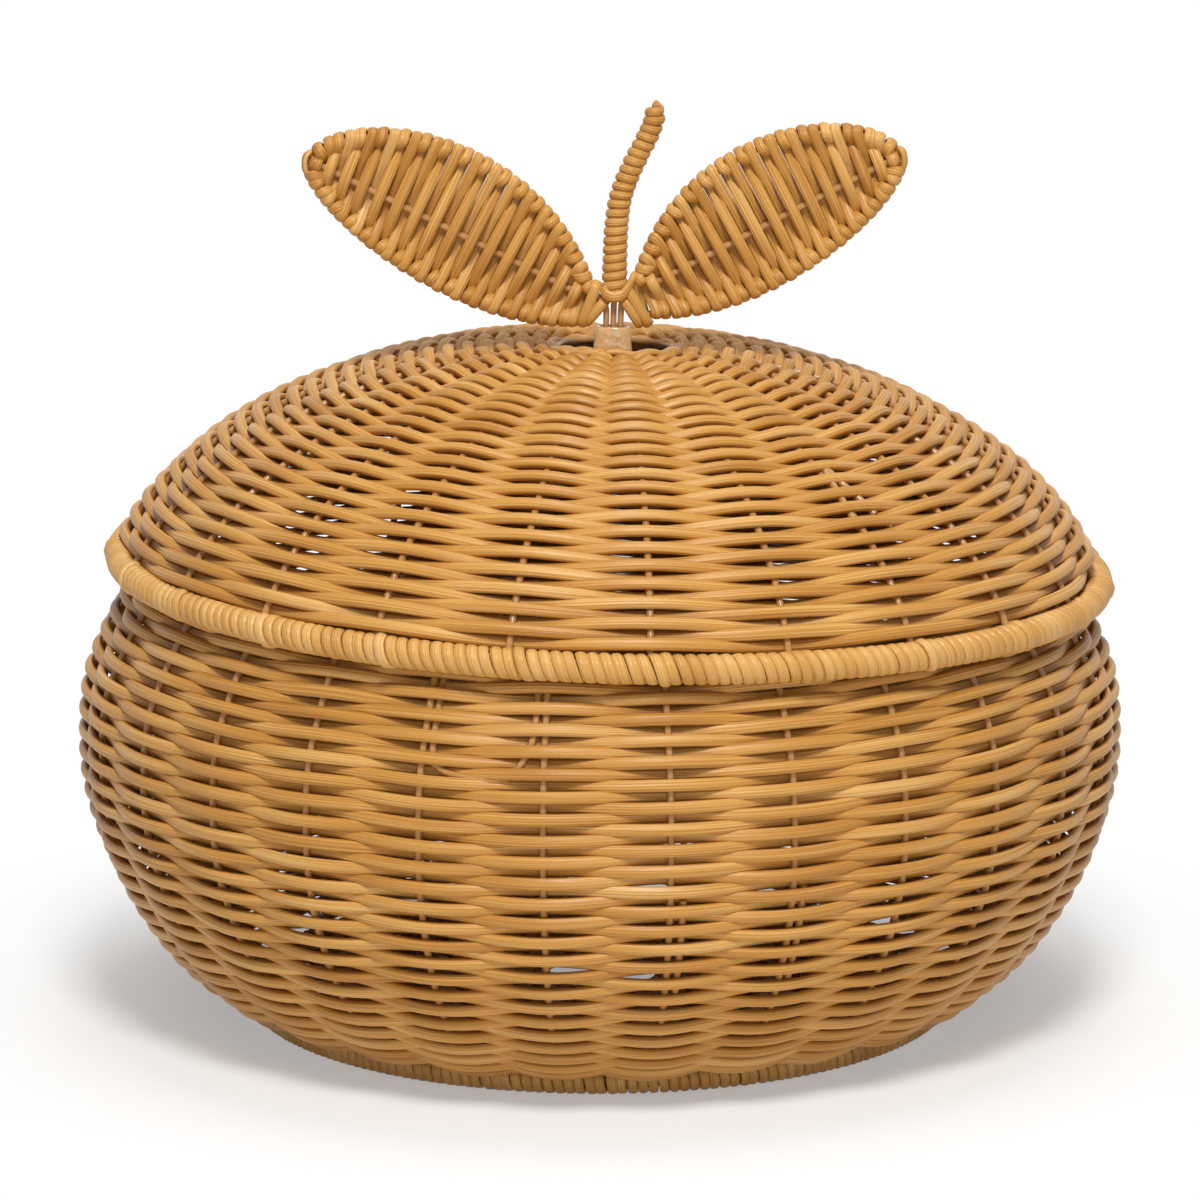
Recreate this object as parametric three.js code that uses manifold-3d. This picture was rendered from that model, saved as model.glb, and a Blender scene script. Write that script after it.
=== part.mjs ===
// Lidded storage basket in the shape of an apple: cane strand woven over wire frames,
// with a loose domed lid that carries a wound stem and two woven leaves.
// Millimetres, +Z up. Origin on the ground under the middle of the body.

import * as THREE from 'three';
import { mergeVertices } from 'three/addons/utils/BufferGeometryUtils.js';
import Module from 'manifold-3d';

const wasm = await Module();
wasm.setup();

// Strand and wire, shared by every woven piece
const strandThickness = 2.2;
const stakeWire = 2.1;
const crossingShare = 1.4;
const clearance = 0.3;
const overrun = 4;

// Body
const bodyDiameter = 300;
const bellyHeight = 78;
const bodyStakes = 27;
const bodyTurn = THREE.MathUtils.degToRad(7.4);
const shoulderCentreHeight = 43;
const shoulderStartAngle = THREE.MathUtils.degToRad(23.44);

// Foot and mouth rings of the body
const footRingDiameter = 198;
const footWire = 4;
const mouthWire = 3.4;
const mouthGap = 2;

// Lid
const lidRimDiameter = 279.8;
const lidSeatAngle = THREE.MathUtils.degToRad(31.69);
const lidRimWire = 5.1;
const lidDomeHeight = 62;
const lidStakes = 23;
const lidTurn = THREE.MathUtils.degToRad(4.4);
const lidTilt = THREE.MathUtils.degToRad(1.8);

// Small rings at the middle of the floor and of the lid
const centreRingDiameter = 34;

// Moulded hub at the front of the lid's hole, with the three wires that stand in it
const hubWidthBelow = 12.4;
const hubWidthAbove = 10.4;
const hubDepth = 6.4;
const hubRise = 8.5;
const hubDrop = 3;
const hubOffset = -1.2;
const hubWireSpacing = 3.2;
const twigWire = 1.75;

// Stem
const stemWindingStart = 9.1;
const stemHeight = 63.5;
const stemLean = 9.7;
const stemStraight = 26;
const stemWidthBelow = 7.5;
const stemWidthAbove = 5.5;
const stemLoops = 21;
const stemStrandWidth = 2.1;
const stemStrandThickness = 1.5;

// Leaves
const leafWire = 1.75;
const leafStrandThickness = 1.6;
const leftLeafLength = 92.6;
const leftLeafSeat = 6.7;
const leftLeafRise = THREE.MathUtils.degToRad(24.9);
const rightLeafLength = 87.2;
const rightLeafSeat = 9.2;
const rightLeafRise = THREE.MathUtils.degToRad(29.6);
const leafUpperEdge = { base: 1.8, baseHandle: 38.5, tipHandle: 21.1 };
const leafLowerEdge = { base: 7.7, baseHandle: 27.3, tipHandle: 13.2 };

// Shares of a span that place the handles of the curves
const footHandleShare = 0.41;
const bellyHandleShare = 0.43;
const upperHandleShare = 0.33;
const domeRimHandleShare = 0.66;
const domeTopHandleShare = 0.386;
const domeRimAngle = THREE.MathUtils.degToRad(68.9);
const leafHandleShares = { base: 0.35, tip: 0.985 };
const stemHalfwayLeanShare = 0.33;

// How finely the round shapes are divided
const facetsPerStake = 2;
const wallStepsBelow = 4;
const wallStepsAbove = 2;
const domeSteps = 5;
const wireSides = 4;
const twigSides = 6;
const hiddenArcSteps = 5;
const shownArcSteps = 7;
const innerArcSteps = 4;
const stemSteps = 8;
const loopSteps = 8;
const loopSides = 5;
const leafEdgeSteps = 9;

const caneColour = 0xcf9a55;
const bindingColour = 0xdcae66;
const wireColour = 0xb07f50;
const hubColour = 0xc49a62;

function finish(color, roughness, metalness) {
  return new THREE.MeshStandardMaterial({ color, roughness, metalness, flatShading: true });
}

// Merges shared corners and turns the faces outward.
function closed(geometry) {
  const bare = geometry.clone();
  bare.deleteAttribute('normal');
  bare.deleteAttribute('uv');
  const merged = mergeVertices(bare);
  const place = merged.getAttribute('position');
  const index = merged.getIndex().array;
  const [a, b, c] = [new THREE.Vector3(), new THREE.Vector3(), new THREE.Vector3()];
  const kept = [];
  let volume = 0;
  for (let i = 0; i < index.length; i += 3) {
    if (index[i] === index[i + 1] || index[i + 1] === index[i + 2] || index[i] === index[i + 2]) {
      continue;
    }
    kept.push(index[i], index[i + 1], index[i + 2]);
    a.fromBufferAttribute(place, index[i]);
    b.fromBufferAttribute(place, index[i + 1]);
    c.fromBufferAttribute(place, index[i + 2]);
    volume += a.dot(b.cross(c));
  }
  if (volume < 0) {
    kept.reverse();
  }
  merged.setIndex(kept);
  return merged;
}

function toSolid(geometry) {
  const merged = closed(geometry);
  return new wasm.Manifold(new wasm.Mesh({
    numProp: 3,
    vertProperties: new Float32Array(merged.getAttribute('position').array),
    triVerts: new Uint32Array(merged.getIndex().array),
  }));
}

function fromSolid(solid) {
  const mesh = solid.getMesh();
  const geometry = new THREE.BufferGeometry();
  geometry.setAttribute('position', new THREE.BufferAttribute(mesh.vertProperties, 3));
  geometry.setIndex(new THREE.BufferAttribute(mesh.triVerts, 1));
  return geometry;
}

// The direction midway between those of the two lines that meet in a corner.
function mitred(before, here, after) {
  const into = here.clone().sub(before).normalize();
  const out = after.clone().sub(here).normalize();
  return into.add(out).normalize();
}

// A curve through given corners, sampled exactly at them.
class CornerPath extends THREE.Curve {
  constructor(corners) {
    super();
    this.corners = corners;
  }

  getPoint(t, target = new THREE.Vector3()) {
    const last = this.corners.length - 1;
    const at = Math.min(Math.max(t, 0), 1) * last;
    const i = Math.min(Math.floor(at), last - 1);
    return target.lerpVectors(this.corners[i], this.corners[i + 1], at - i);
  }

  getPointAt(u, target) {
    return this.getPoint(u, target);
  }

  getTangent(t, target = new THREE.Vector3()) {
    const last = this.corners.length - 1;
    const i = Math.round(t * last);
    const before = this.corners[Math.max(i - 1, 0)];
    const after = this.corners[Math.min(i + 1, last)];
    return target.copy(mitred(before, this.corners[i], after));
  }

  getTangentAt(u, target) {
    return this.getTangent(u, target);
  }
}

function polygon(radius, sides, turn = 0) {
  const corners = [];
  for (let i = 0; i < sides; i += 1) {
    const angle = (i / sides) * 2 * Math.PI + turn;
    corners.push(new THREE.Vector2(radius * Math.cos(angle), radius * Math.sin(angle)));
  }
  return corners;
}

// A wire or a channel through the corners of a path. Its flat sides face the ways that its path bends,
// so that no corner of a channel meets the ridge of a wall.
function tube(corners, radius, sides) {
  return new THREE.ExtrudeGeometry(new THREE.Shape(polygon(radius, sides, Math.PI / sides)), {
    steps: corners.length - 1,
    extrudePath: new CornerPath(corners),
  });
}

// The radius of a channel whose flat sides stay a clearance away from a wire.
function channelRadius(wire, sides) {
  return wire / 2 + clearance / Math.cos(Math.PI / sides);
}

// The corners of a path with both ends run on in their own direction.
function lengthened(corners, byStart, byEnd) {
  const first = corners[0];
  const last = corners[corners.length - 1];
  const start = first.clone().sub(corners[1]).setLength(byStart).add(first);
  const end = last.clone().sub(corners[corners.length - 2]).setLength(byEnd).add(last);
  return [start, ...corners.slice(1, -1), end];
}

// Turns a closed profile of radius and height about the Z axis. The profile is met at the middle of
// each facet. The angle turn, from the front round by the right, is the middle of one of them, so
// that each stake lies in a flat face.
function revolved(profile, facets, turn) {
  const half = Math.PI / facets;
  const ring = [...profile, profile[0]].map((p) => new THREE.Vector2(p.x / Math.cos(half), p.y));
  return new THREE.LatheGeometry(ring, facets, turn - half).rotateX(Math.PI / 2);
}

// How far the corners between the facets stand out of a round.
function standOut(radius, facets) {
  return radius / Math.cos(Math.PI / facets) - radius;
}

// A point of a profile, seen in the front meridian plane.
function inFront(point) {
  return new THREE.Vector3(0, -point.x, point.y);
}

function arc(centre, radius, from, to, steps) {
  const points = [];
  for (let i = 0; i <= steps; i += 1) {
    const angle = from + ((to - from) * i) / steps;
    points.push(new THREE.Vector2(
      centre.x + radius * Math.cos(angle),
      centre.y + radius * Math.sin(angle),
    ));
  }
  return points;
}

// Points along a profile curve, from one distance to another.
function stretch(curve, from, to, steps) {
  const length = curve.getLength();
  const points = [];
  for (let i = 0; i <= steps; i += 1) {
    points.push(curve.getPointAt((from + ((to - from) * i) / steps) / length));
  }
  return points;
}

// The wall round the inner corners of a path: its outer face, then its inner face on the way back.
function wallProfile(path, thickness) {
  const outer = [];
  const inner = [];
  for (let i = 1; i + 1 < path.length; i += 1) {
    const along = mitred(path[i - 1], path[i], path[i + 1]);
    const side = new THREE.Vector2(along.y, -along.x).multiplyScalar(thickness / 2);
    outer.push(path[i].clone().add(side));
    inner.push(path[i].clone().sub(side));
  }
  return [...outer, ...inner.reverse()];
}

// Joins rings of points, from each to the next and, when they go right round, from the last to the first.
function joined(rings, allRound) {
  const sides = rings[0].length;
  const index = [];
  for (let i = 0; i < rings.length - (allRound ? 0 : 1); i += 1) {
    const here = i * sides;
    const there = ((i + 1) % rings.length) * sides;
    for (let j = 0; j < sides; j += 1) {
      const next = (j + 1) % sides;
      index.push(here + j, here + next, there + next, here + j, there + next, there + j);
    }
  }
  const last = (rings.length - 1) * sides;
  for (let j = 1; j + 1 < sides && !allRound; j += 1) {
    index.push(0, j + 1, j, last, last + j, last + j + 1);
  }
  const geometry = new THREE.BufferGeometry().setFromPoints(rings.flat());
  geometry.setIndex(index);
  return geometry;
}

// A woven wall round the Z axis, ridged over the stakes and hollowed between them, outside and inside.
function wovenWall(path, stakes, turn) {
  const overStake = wallProfile(path, wallThickness);
  const atCrossing = wallProfile(path, crossingThickness);
  const up = new THREE.Vector3(0, 0, 1);
  const rings = [];
  for (let i = 0; i < stakes; i += 1) {
    [overStake, atCrossing].forEach((profile, half) => {
      const angle = turn + ((i + half / 2) / stakes) * 2 * Math.PI;
      rings.push(profile.map((point) => inFront(point).applyAxisAngle(up, angle)));
    });
  }
  return joined(rings, true);
}

// The strand bound round a ring wire: a tube that is open along one side, where the stakes come in.
// halfOpen gives half the opening's angle at a radius; the inside keeps its clearance at its flats.
function bindingProfile(centre, wire, openAngle, halfOpen, arcSteps) {
  const outerRadius = wire / 2 + strandThickness;
  const outerHalf = halfOpen(outerRadius);
  const flatRadius = wire / 2 + clearance;
  const widestHalf = halfOpen(flatRadius / Math.cos(Math.PI / innerArcSteps));
  const innerRadius = flatRadius / Math.cos((Math.PI - widestHalf) / innerArcSteps);
  const innerHalf = halfOpen(innerRadius);
  return [
    ...arc(centre, outerRadius, openAngle + outerHalf, openAngle + 2 * Math.PI - outerHalf, arcSteps),
    ...arc(centre, innerRadius, openAngle + 2 * Math.PI - innerHalf, openAngle + innerHalf, innerArcSteps),
  ];
}

function ringWireProfile(centre, wire) {
  return polygon(wire / 2, wireSides).map((corner) => corner.add(centre));
}

// A woven wall is thickest over a stake, where its rows pass on both sides, and thinnest midway
// between two stakes, where they cross.
const wallThickness = stakeWire + 2 * strandThickness;
const crossingThickness = strandThickness * crossingShare;
const slotWidth = 2 * channelRadius(stakeWire, wireSides);

// Half the angle of a slot that lets a stake through, and of an opening level with the foot's wire.
const slotHalf = (radius) => Math.asin(Math.min(slotWidth / 2 / radius, 1));
const levelHalf = (radius) => Math.acos(Math.min(footWire / 2 / radius, 1));

const cane = finish(caneColour, 0.5, 0);
const binding = finish(bindingColour, 0.5, 0);
const wire = finish(wireColour, 0.35, 0.2);

function named(name, geometry, material) {
  const mesh = new THREE.Mesh(closed(geometry), material.clone());
  mesh.name = name;
  return mesh;
}

// Where the foot ring lies: its binding's flat underside is on the ground.
const footBindingRadius = footWire / 2 + strandThickness;
const footFlatTurn = (Math.PI - levelHalf(footBindingRadius)) / hiddenArcSteps;
const footCentre = new THREE.Vector2(footRingDiameter / 2, footBindingRadius * Math.cos(footFlatTurn));
const spokeHeight = footCentre.y + footWire / 2 + clearance + stakeWire / 2;

// Where the lid's rim lies: at its seat angle on the round shoulder of the body, whatever its tilt.
const lidBindingRadius = lidRimWire / 2 + strandThickness;
const lidFacets = lidStakes * facetsPerStake;
const bodyFacets = bodyStakes * facetsPerStake;
const rimReach = lidRimDiameter / 2 / Math.cos(lidSeatAngle);
const rimHeight = rimReach * Math.sin(lidSeatAngle);
const shoulderRadius = rimReach - lidBindingRadius - clearance;

// Where the mouth ring lies: on the same shoulder, inside the lid's rim.
const mouthBindingRadius = mouthWire / 2 + strandThickness;
const middleShoulder = shoulderRadius - wallThickness / 2;
const mouthAngle = lidSeatAngle + lidTilt
  + (lidBindingRadius + mouthBindingRadius + mouthGap) / middleShoulder;

// The middle line of the body's wall, from over the foot ring to the mouth ring.
function bodyCurve() {
  const foot = new THREE.Vector2(footCentre.x, spokeHeight);
  const belly = new THREE.Vector2(bodyDiameter / 2 - wallThickness / 2, bellyHeight);
  const start = new THREE.Vector2(
    middleShoulder * Math.cos(shoulderStartAngle),
    shoulderCentreHeight + middleShoulder * Math.sin(shoulderStartAngle),
  );
  const heading = new THREE.Vector2(Math.sin(shoulderStartAngle), -Math.cos(shoulderStartAngle));
  const rise = belly.y - foot.y;
  const upper = start.distanceTo(belly) * upperHandleShare;
  const curve = new THREE.CurvePath();
  curve.add(new THREE.CubicBezierCurve(
    foot,
    new THREE.Vector2(foot.x + (belly.x - foot.x) * footHandleShare, foot.y),
    new THREE.Vector2(belly.x, belly.y - rise * bellyHandleShare),
    belly,
  ));
  curve.add(new THREE.CubicBezierCurve(
    belly,
    new THREE.Vector2(belly.x, belly.y + upper),
    start.clone().addScaledVector(heading, upper),
    start,
  ));
  curve.add(new THREE.ArcCurve(
    0, shoulderCentreHeight, middleShoulder, shoulderStartAngle, mouthAngle, false,
  ));
  return curve;
}

// The middle line of the lid's wall, from the rim's wire up to the ring at the hole.
function domeCurve() {
  const rim = new THREE.Vector2(lidRimDiameter / 2, 0);
  const hole = new THREE.Vector2(centreRingDiameter / 2, lidDomeHeight);
  const rimHandle = lidDomeHeight * domeRimHandleShare;
  const topHandle = (rim.x - hole.x) * domeTopHandleShare;
  return new THREE.CubicBezierCurve(
    rim,
    new THREE.Vector2(rim.x - rimHandle * Math.cos(domeRimAngle), rimHandle * Math.sin(domeRimAngle)),
    new THREE.Vector2(hole.x + topHandle, hole.y),
    hole,
  );
}

const wallCurve = bodyCurve();
const wallLength = wallCurve.getLength();
const wallFrom = footBindingRadius + 2 * clearance;
const mouthCentre = wallCurve.getPointAt(1);
const wallTo = wallLength - mouthBindingRadius - standOut(mouthCentre.x, bodyStakes) - clearance;
const bellyAt = wallCurve.curves[0].getLength();
const wallMiddle = [
  ...stretch(wallCurve, wallFrom, bellyAt, wallStepsBelow),
  ...stretch(wallCurve, bellyAt, wallTo, wallStepsAbove).slice(1),
];
const centreRingOutside = centreRingDiameter / 2 + stakeWire / 2 + clearance;

const wallPath = [
  wallCurve.getPointAt(0),
  ...wallMiddle,
  wallCurve.getPointAt((wallLength - mouthWire / 2 - clearance) / wallLength),
];

// One stake of the body: a spoke of the floor that bends over the foot ring and goes up the wall.
function bodyStakeCorners() {
  return [new THREE.Vector2(centreRingOutside, spokeHeight), ...wallPath].map(inFront);
}

// Cuts a channel for each stake through a woven wall.
function withChannels(wall, corners, count, turn) {
  const channel = tube(corners, channelRadius(stakeWire, wireSides), wireSides);
  let solid = toSolid(wall);
  for (let i = 0; i < count; i += 1) {
    const placed = channel.clone().rotateZ(turn + (i / count) * 2 * Math.PI);
    solid = solid.subtract(toSolid(placed));
  }
  return fromSolid(solid);
}

function footRing(group) {
  const around = bindingProfile(footCentre, footWire, Math.PI / 2, levelHalf, hiddenArcSteps);
  group.add(named('foot_ring', revolved(ringWireProfile(footCentre, footWire), bodyFacets, bodyTurn), wire));
  group.add(named('foot_binding', revolved(around, bodyFacets, bodyTurn), binding));
}

// Direction in which a profile curve leaves or enters a ring, as an angle in the profile plane.
function headingFrom(centre, point) {
  return Math.atan2(point.y - centre.y, point.x - centre.x);
}

function mouthRing(group) {
  const open = headingFrom(mouthCentre, wallMiddle[wallMiddle.length - 1]);
  const around = bindingProfile(mouthCentre, mouthWire, open, slotHalf, hiddenArcSteps);
  const inside = ringWireProfile(mouthCentre, mouthWire);
  group.add(named('mouth_ring', revolved(inside, bodyStakes, bodyTurn), wire));
  group.add(named('mouth_binding', revolved(around, bodyStakes, bodyTurn), binding));
}

function floor(group, corners) {
  const outside = footCentre.x - footBindingRadius - clearance;
  const path = [0, centreRingOutside, outside, footCentre.x];
  const profile = wallProfile(path.map((x) => new THREE.Vector2(x, spokeHeight)), wallThickness);
  const disc = revolved(profile, bodyStakes, bodyTurn);
  const ring = ringWireProfile(new THREE.Vector2(centreRingDiameter / 2, spokeHeight), stakeWire);
  group.add(named('floor_ring', revolved(ring, bodyStakes, bodyTurn), wire));
  group.add(named('floor_weave', withChannels(disc, corners, bodyStakes, bodyTurn), cane));
}

function body() {
  const group = new THREE.Group();
  const corners = bodyStakeCorners();
  const channel = lengthened(corners, overrun, overrun);
  const wall = wovenWall(wallPath, bodyStakes, bodyTurn);
  footRing(group);
  floor(group, channel);
  for (let i = 0; i < bodyStakes; i += 1) {
    const name = `body_stake_${String(i + 1).padStart(2, '0')}`;
    const stake = named(name, tube(corners, stakeWire / 2, wireSides), wire);
    stake.rotation.z = bodyTurn + (i / bodyStakes) * 2 * Math.PI;
    group.add(stake);
  }
  group.add(named('body_weave', withChannels(wall, channel, bodyStakes, bodyTurn), cane));
  mouthRing(group);
  return group;
}

const dome = domeCurve();
const domeLength = dome.getLength();
const domeMiddle = stretch(
  dome, lidBindingRadius + clearance, domeLength - stakeWire / 2 - clearance, domeSteps,
);

function lidRim(group) {
  const centre = new THREE.Vector2(lidRimDiameter / 2, 0);
  const open = headingFrom(centre, domeMiddle[0]);
  const around = bindingProfile(centre, lidRimWire, open, slotHalf, shownArcSteps);
  group.add(named('lid_rim_ring', revolved(ringWireProfile(centre, lidRimWire), lidFacets, lidTurn), wire));
  group.add(named('lid_rim_binding', revolved(around, lidFacets, lidTurn), binding));
}

// The lid's stakes, welded to the small ring at the hole.
function lidFrame(corners) {
  const ring = ringWireProfile(new THREE.Vector2(centreRingDiameter / 2, lidDomeHeight), stakeWire);
  const stake = tube(corners, stakeWire / 2, wireSides);
  let solid = toSolid(revolved(ring, lidStakes, lidTurn));
  for (let i = 0; i < lidStakes; i += 1) {
    solid = solid.add(toSolid(stake.clone().rotateZ(lidTurn + (i / lidStakes) * 2 * Math.PI)));
  }
  return fromSolid(solid);
}

function lidShell(group) {
  const start = dome.getPointAt((lidRimWire / 2 + clearance) / domeLength);
  const path = [start, ...domeMiddle, dome.getPointAt(1)];
  const corners = path.map(inFront);
  const wall = wovenWall(path, lidStakes, lidTurn);
  const channel = lengthened(corners, overrun, overrun);
  group.add(named('lid_frame', lidFrame(corners), wire));
  group.add(named('lid_weave', withChannels(wall, channel, lidStakes, lidTurn), cane));
}

// The hub is glued inside the hole's ring, at the front, and reaches a little under it.
const hubRadius = centreRingDiameter / 2 - stakeWire / 2 - clearance;
const hubBack = -hubRadius + hubDepth;
const twigPlane = -hubRadius + hubDepth / 2;
const hubTop = lidDomeHeight + hubRise;
const hubBottom = lidDomeHeight - hubDrop;
const twigBottom = lidDomeHeight;

// A point in the upright plane that the stem and the leaves stand in.
function twigPoint(x, z) {
  return new THREE.Vector3(x, twigPlane, z);
}

function hub(twigs) {
  const below = hubWidthBelow / 2;
  const above = hubWidthAbove / 2;
  const outline = new THREE.Shape([
    new THREE.Vector2(hubOffset - below, hubBottom),
    new THREE.Vector2(hubOffset + below, hubBottom),
    new THREE.Vector2(hubOffset + above, hubTop),
    new THREE.Vector2(hubOffset - above, hubTop),
  ]);
  const block = new THREE.ExtrudeGeometry(outline, { depth: hubRadius, bevelEnabled: false });
  block.rotateX(Math.PI / 2).translate(0, hubBack, 0);
  const hole = new THREE.CylinderGeometry(hubRadius, hubRadius, 2 * hubTop, lidFacets);
  let solid = toSolid(block).intersect(toSolid(hole.rotateX(Math.PI / 2)));
  twigs.forEach((corners) => {
    const drill = lengthened(corners, clearance, overrun);
    solid = solid.subtract(toSolid(tube(drill, channelRadius(twigWire, twigSides), twigSides)));
  });
  return fromSolid(solid);
}

// The stem's middle line: straight up from the hub, then leaning to the right.
function stemCurve() {
  const bend = hubTop + stemStraight;
  const top = hubTop + stemHeight;
  return new THREE.CatmullRomCurve3([
    twigPoint(hubOffset, twigBottom),
    twigPoint(hubOffset, hubTop + stemWindingStart),
    twigPoint(hubOffset, bend),
    twigPoint(hubOffset + stemLean * stemHalfwayLeanShare, (bend + top) / 2),
    twigPoint(hubOffset + stemLean, top),
  ]);
}

// The strand wound round the stem, as one unbroken tube.
function stemWinding(curve) {
  const length = curve.getLength();
  const from = (hubTop + stemWindingStart - twigBottom) / length;
  const rings = [];
  const steps = stemLoops * loopSteps;
  const across = new THREE.Vector3(0, 1, 0);
  const ringAt = (share, angle, slide) => {
    const u = from + (1 - from) * share;
    const along = curve.getTangentAt(u);
    const aside = new THREE.Vector3().crossVectors(across, along);
    const width = stemWidthBelow + (stemWidthAbove - stemWidthBelow) * share;
    const radius = (width - stemStrandThickness) / 2;
    const out = aside.clone().multiplyScalar(Math.cos(angle)).addScaledVector(across, Math.sin(angle));
    const round = aside.clone().multiplyScalar(-Math.sin(angle)).addScaledVector(across, Math.cos(angle));
    const middle = curve.getPointAt(u).addScaledVector(out, radius).addScaledVector(round, slide);
    return polygon(1, loopSides).map((corner) => middle.clone()
      .addScaledVector(out, (corner.x * stemStrandThickness) / 2)
      .addScaledVector(along, (corner.y * stemStrandWidth) / 2));
  };
  rings.push(ringAt(0, 0, -stemStrandWidth));
  for (let i = 0; i <= steps; i += 1) {
    rings.push(ringAt(i / steps, (i / loopSteps) * 2 * Math.PI, 0));
  }
  rings.push(ringAt(1, stemLoops * 2 * Math.PI, stemStrandWidth));
  return rings;
}

// The least distance between turns that lie at least half a loop apart.
function leastGap(rings) {
  let least = Infinity;
  for (let i = 0; i < rings.length; i += 1) {
    for (let j = i + Math.ceil(loopSteps / 2); j < Math.min(rings.length, i + 2 * loopSteps); j += 1) {
      for (const a of rings[i]) {
        for (const b of rings[j]) {
          least = Math.min(least, a.distanceTo(b));
        }
      }
    }
  }
  return least;
}

const leaves = [
  { side: -1, name: 'left', length: leftLeafLength, seat: leftLeafSeat, rise: leftLeafRise },
  { side: 1, name: 'right', length: rightLeafLength, seat: rightLeafSeat, rise: rightLeafRise },
];

// A leaf's own axes: along it from its base to its tip, and across it, upwards. The base is as
// near to the stem's winding as the upper corner of the lashing lets it be.
function leafAxes(leaf) {
  const along = new THREE.Vector2(leaf.side * Math.cos(leaf.rise), Math.sin(leaf.rise));
  const across = new THREE.Vector2(-leaf.side * Math.sin(leaf.rise), Math.cos(leaf.rise));
  const aside = stemWidthBelow / 2 + clearance + leafUpperEdge.base * Math.sin(leaf.rise);
  const base = new THREE.Vector2(hubOffset + leaf.side * aside, hubTop + leaf.seat);
  return (u, v) => base.clone().addScaledVector(along, u).addScaledVector(across, v);
}

// One edge of a leaf from its base to its tip, drawn in by a distance.
function leafEdge(leaf, side, inset) {
  const heights = side > 0 ? leafUpperEdge : leafLowerEdge;
  const edge = new THREE.CubicBezierCurve(
    new THREE.Vector2(0, side * heights.base),
    new THREE.Vector2(leaf.length * leafHandleShares.base, side * heights.baseHandle),
    new THREE.Vector2(leaf.length * leafHandleShares.tip, side * heights.tipHandle),
    new THREE.Vector2(leaf.length, 0),
  );
  const points = [];
  for (let i = 0; i <= leafEdgeSteps; i += 1) {
    const t = i / leafEdgeSteps;
    const along = edge.getTangent(t);
    const inward = new THREE.Vector2(along.y, -along.x).multiplyScalar(side * inset);
    points.push(edge.getPoint(t).add(inward));
  }
  return points;
}

function leafFrameCorners(leaf, place) {
  const inset = leafWire / 2 + leafStrandThickness;
  const lower = leafEdge(leaf, -1, inset).slice(1, -1);
  const upper = leafEdge(leaf, 1, inset).slice(1, -1).reverse();
  const tip = new THREE.Vector2(leaf.length - inset, 0);
  const loop = [...lower, tip, ...upper].map((p) => place(p.x, p.y));
  const foot = new THREE.Vector2(hubOffset + leaf.side * hubWireSpacing, twigBottom);
  const out = new THREE.Vector2(foot.x, hubTop + leaf.seat / 2);
  return [foot, out, ...loop].map((p) => twigPoint(p.x, p.y));
}

function leafMidribCorners(leaf, place) {
  const inset = leafWire / 2 + leafStrandThickness;
  const ends = [2 * inset + leafWire, leaf.length - inset - leafWire - clearance];
  return ends.map((u) => place(u, 0)).map((p) => twigPoint(p.x, p.y));
}

function leafPlate(leaf, place, channels) {
  const lower = leafEdge(leaf, -1, 0);
  const upper = leafEdge(leaf, 1, 0).slice(0, -1).reverse();
  const outline = new THREE.Shape([...lower, ...upper].map((p) => place(p.x, p.y)));
  const thickness = leafWire + 2 * leafStrandThickness;
  const round = leafStrandThickness / 2;
  const plate = new THREE.ExtrudeGeometry(outline, {
    depth: thickness - 2 * round,
    bevelThickness: round,
    bevelSize: round,
    bevelOffset: -round,
    bevelSegments: 1,
  });
  plate.rotateX(Math.PI / 2).translate(0, twigPlane + thickness / 2 - round, 0);
  let solid = toSolid(plate);
  channels.forEach(([corners, byStart, byEnd]) => {
    const cut = lengthened(corners, byStart, byEnd);
    solid = solid.subtract(toSolid(tube(cut, channelRadius(leafWire, twigSides), twigSides)));
  });
  return fromSolid(solid);
}

function leafPieces(leaf) {
  const place = leafAxes(leaf);
  const frame = leafFrameCorners(leaf, place);
  const midrib = leafMidribCorners(leaf, place);
  const plate = leafPlate(leaf, place, [[frame, 0, clearance], [midrib, leafWire, leafWire]]);
  return [
    named(`leaf_${leaf.name}_frame`, tube(frame, leafWire / 2, twigSides), wire),
    named(`leaf_${leaf.name}_midrib`, tube(midrib, leafWire / 2, twigSides), wire),
    named(`leaf_${leaf.name}_lashing`, plate, cane),
  ];
}

function lid() {
  const group = new THREE.Group();
  const stem = stemCurve();
  const core = stem.getSpacedPoints(stemSteps);
  const winding = stemWinding(stem);
  const legs = leaves.map((leaf) => leafFrameCorners(leaf, leafAxes(leaf)).slice(0, 2));
  console.log(`stem winding: least gap to itself ${leastGap(winding).toFixed(2)} mm`);
  lidRim(group);
  lidShell(group);
  group.add(named('hub', hub([core.slice(0, 2), ...legs]), finish(hubColour, 0.25, 0)));
  group.add(named('stem_core', tube(core, twigWire / 2, twigSides), wire));
  group.add(named('stem_winding', joined(winding, false), cane));
  leaves.forEach((leaf) => group.add(...leafPieces(leaf)));
  return group;
}

// The lid leans about the centre of the shoulder that it sits on.
function seatedLid() {
  const pivot = new THREE.Group();
  const raised = lid();
  raised.position.z = rimHeight;
  pivot.add(raised);
  pivot.position.z = shoulderCentreHeight;
  pivot.rotation.y = lidTilt;
  return pivot;
}

const basket = new THREE.Group();
basket.name = 'lidded_storage_basket';
basket.add(body(), seatedLid());

export default basket;
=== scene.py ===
"""Dresses the frame of the lidded storage basket: woven artificial cane over coated wire."""
from math import copysign, cos, pi, radians, sin

import bmesh
import bpy
from mathutils import Matrix, Vector


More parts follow.
